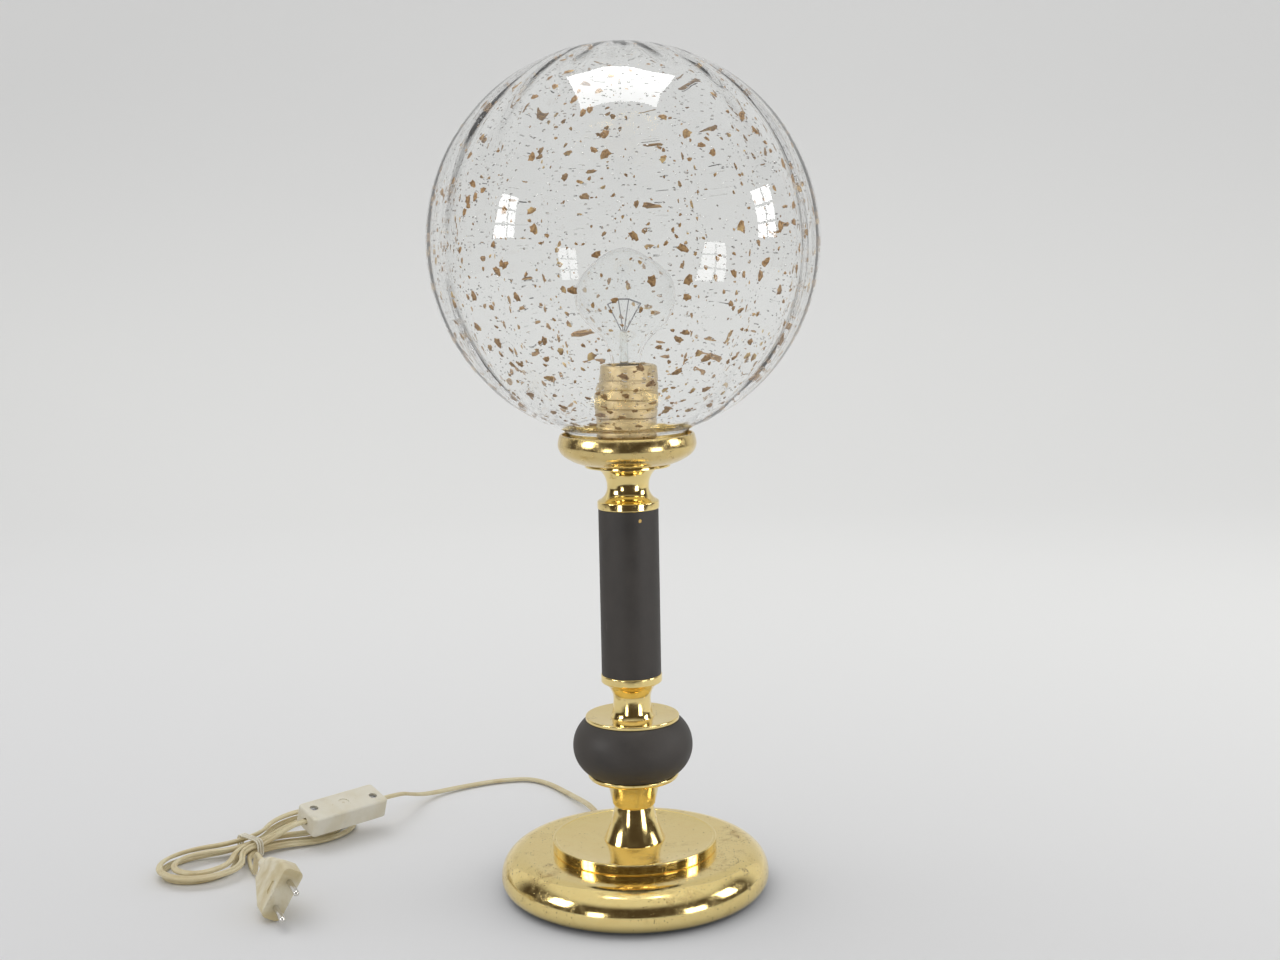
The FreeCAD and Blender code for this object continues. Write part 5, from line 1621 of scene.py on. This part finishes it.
    def build(self) -> None:
        """Strew the flakes and turn them into one mesh."""
        chips = bpy.data.collections.new(self.name + "_chips")
        shapes = [self.source(number) for number in range(self.shapes)]
        for shape in shapes:
            chips.objects.link(shape)
        carrier = self.carrier()
        tree, names = self.tree(chips)
        maker = carrier.modifiers.new("spray", "NODES")
        maker.node_group = tree
        maker[names["Density"]] = self.density
        maker[names["Largest"]] = self.largest
        maker[names["Seed"]] = self.seed
        mesh = baked(carrier)
        carrier.modifiers.clear()
        carrier.data = mesh
        for shape in shapes:
            bpy.data.objects.remove(shape)
        bpy.data.collections.remove(chips)
        LOG.info("%s: %d faces", self.name, len(mesh.polygons))
        self.shop.seat(carrier, Body.GLOBE, "clear_glass")


@dataclass
class Globe:
    """The blown globe with its faint ribs and the flakes in its wall, in millimetres."""

    shop: Workshop
    radius: float = 126.0
    wall: float = 2.0
    neck: float = 39.5
    foot: float = 298.1
    shoulder: float = 306.8
    blend: float = 5.0
    ribs: int = 20
    inner_ribs: float = 0.30
    outer_ribs: float = 0.12

    @property
    def centre(self) -> float:
        """Give the height of the globe's centre."""
        span = (self.radius + self.blend) ** 2 - (self.neck + self.blend) ** 2
        return self.shoulder + math.sqrt(span)

    def skin(self, inset: float) -> list[complex]:
        """Draw one skin of the globe, from its neck to its pole.

        Args:
            inset: how far inside the outer skin it lies.

        Returns:
            The points.
        """
        radius, blend = self.radius - inset, self.blend + inset
        hub, heart = complex(self.neck + self.blend, self.shoulder), complex(0.0, self.centre)
        lean = cmath.phase(heart - hub)
        points = [hub + cmath.rect(blend, math.pi + (lean - math.pi) * k / 12) for k in range(13)]
        start, steps = cmath.phase(hub - heart), 110
        for k in range(1, steps + 1):
            point = heart + cmath.rect(radius, start + (math.pi / 2 - start) * k / steps)
            points.append(complex(max(0.0, point.real), point.imag))
        return points

    def ripple(self, r: float, z: float, angle: float) -> float:
        """Give the ribs' depth at a place on the glass.

        Args:
            r: radius.
            z: height.
            angle: the way round.

        Returns:
            The change of radius.
        """
        reach = math.hypot(r, z - self.centre)
        if z < self.shoulder + 6.0:
            return 0.0
        inside = reach < self.radius - self.wall * 0.5
        fade = min(1.0, (z - self.shoulder - 6.0) / 40.0) * min(1.0, r / 30.0)
        wander = 0.25 * math.sin(3 * angle + 0.8) + 0.2 * math.sin(7 * angle + z * 0.02)
        wave = math.cos(self.ribs * angle + wander * 2.0)
        return fade * (self.inner_ribs * wave if inside else -self.outer_ribs * wave - self.outer_ribs)

    def build(self) -> None:
        """Make the glass and strew its flakes."""
        outer, inner = self.skin(0.0), self.skin(self.wall)
        edge = 0.8
        rim = Outline(self.neck - self.wall + edge, self.foot).line(self.neck - edge, self.foot)
        rim.curve(self.neck, self.foot + edge)
        back = Outline(self.neck - self.wall, self.foot + edge).face(-90)
        back.curve(self.neck - self.wall + edge, self.foot)
        line = rim.points + outer + inner[::-1] + back.points[:-1]
        glass = spun("glass_globe", line, self.shop.finishes["globe_glass"], 320, self.ripple)
        self.shop.seat(glass, Body.GLOBE, "clear_glass", "globe")
        middle = self.radius - self.wall * 0.45
        FlakeSpray(self.shop, "large_flakes", middle, self.centre, 2700.0, 0.0064, SEED).build()
        FlakeSpray(self.shop, "fine_flakes", middle, self.centre, 3000.0, 0.0026, SEED + 4).build()


# ---------------------------------------------------------------- the whole lamp
def main() -> None:
    """Build the camera, the pieces and the studio."""
    logging.basicConfig(level=logging.INFO, format="%(name)s: %(message)s")
    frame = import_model()
    Viewpoint().make()
    shop = Workshop(frame, finishes())
    for part in (Flex, Foot, Column, Gallery, Bulb, Globe):
        part(shop).build()
        LOG.info("%s is built", part.__name__)
    Studio().build()


if __name__ == "__main__":
    main()
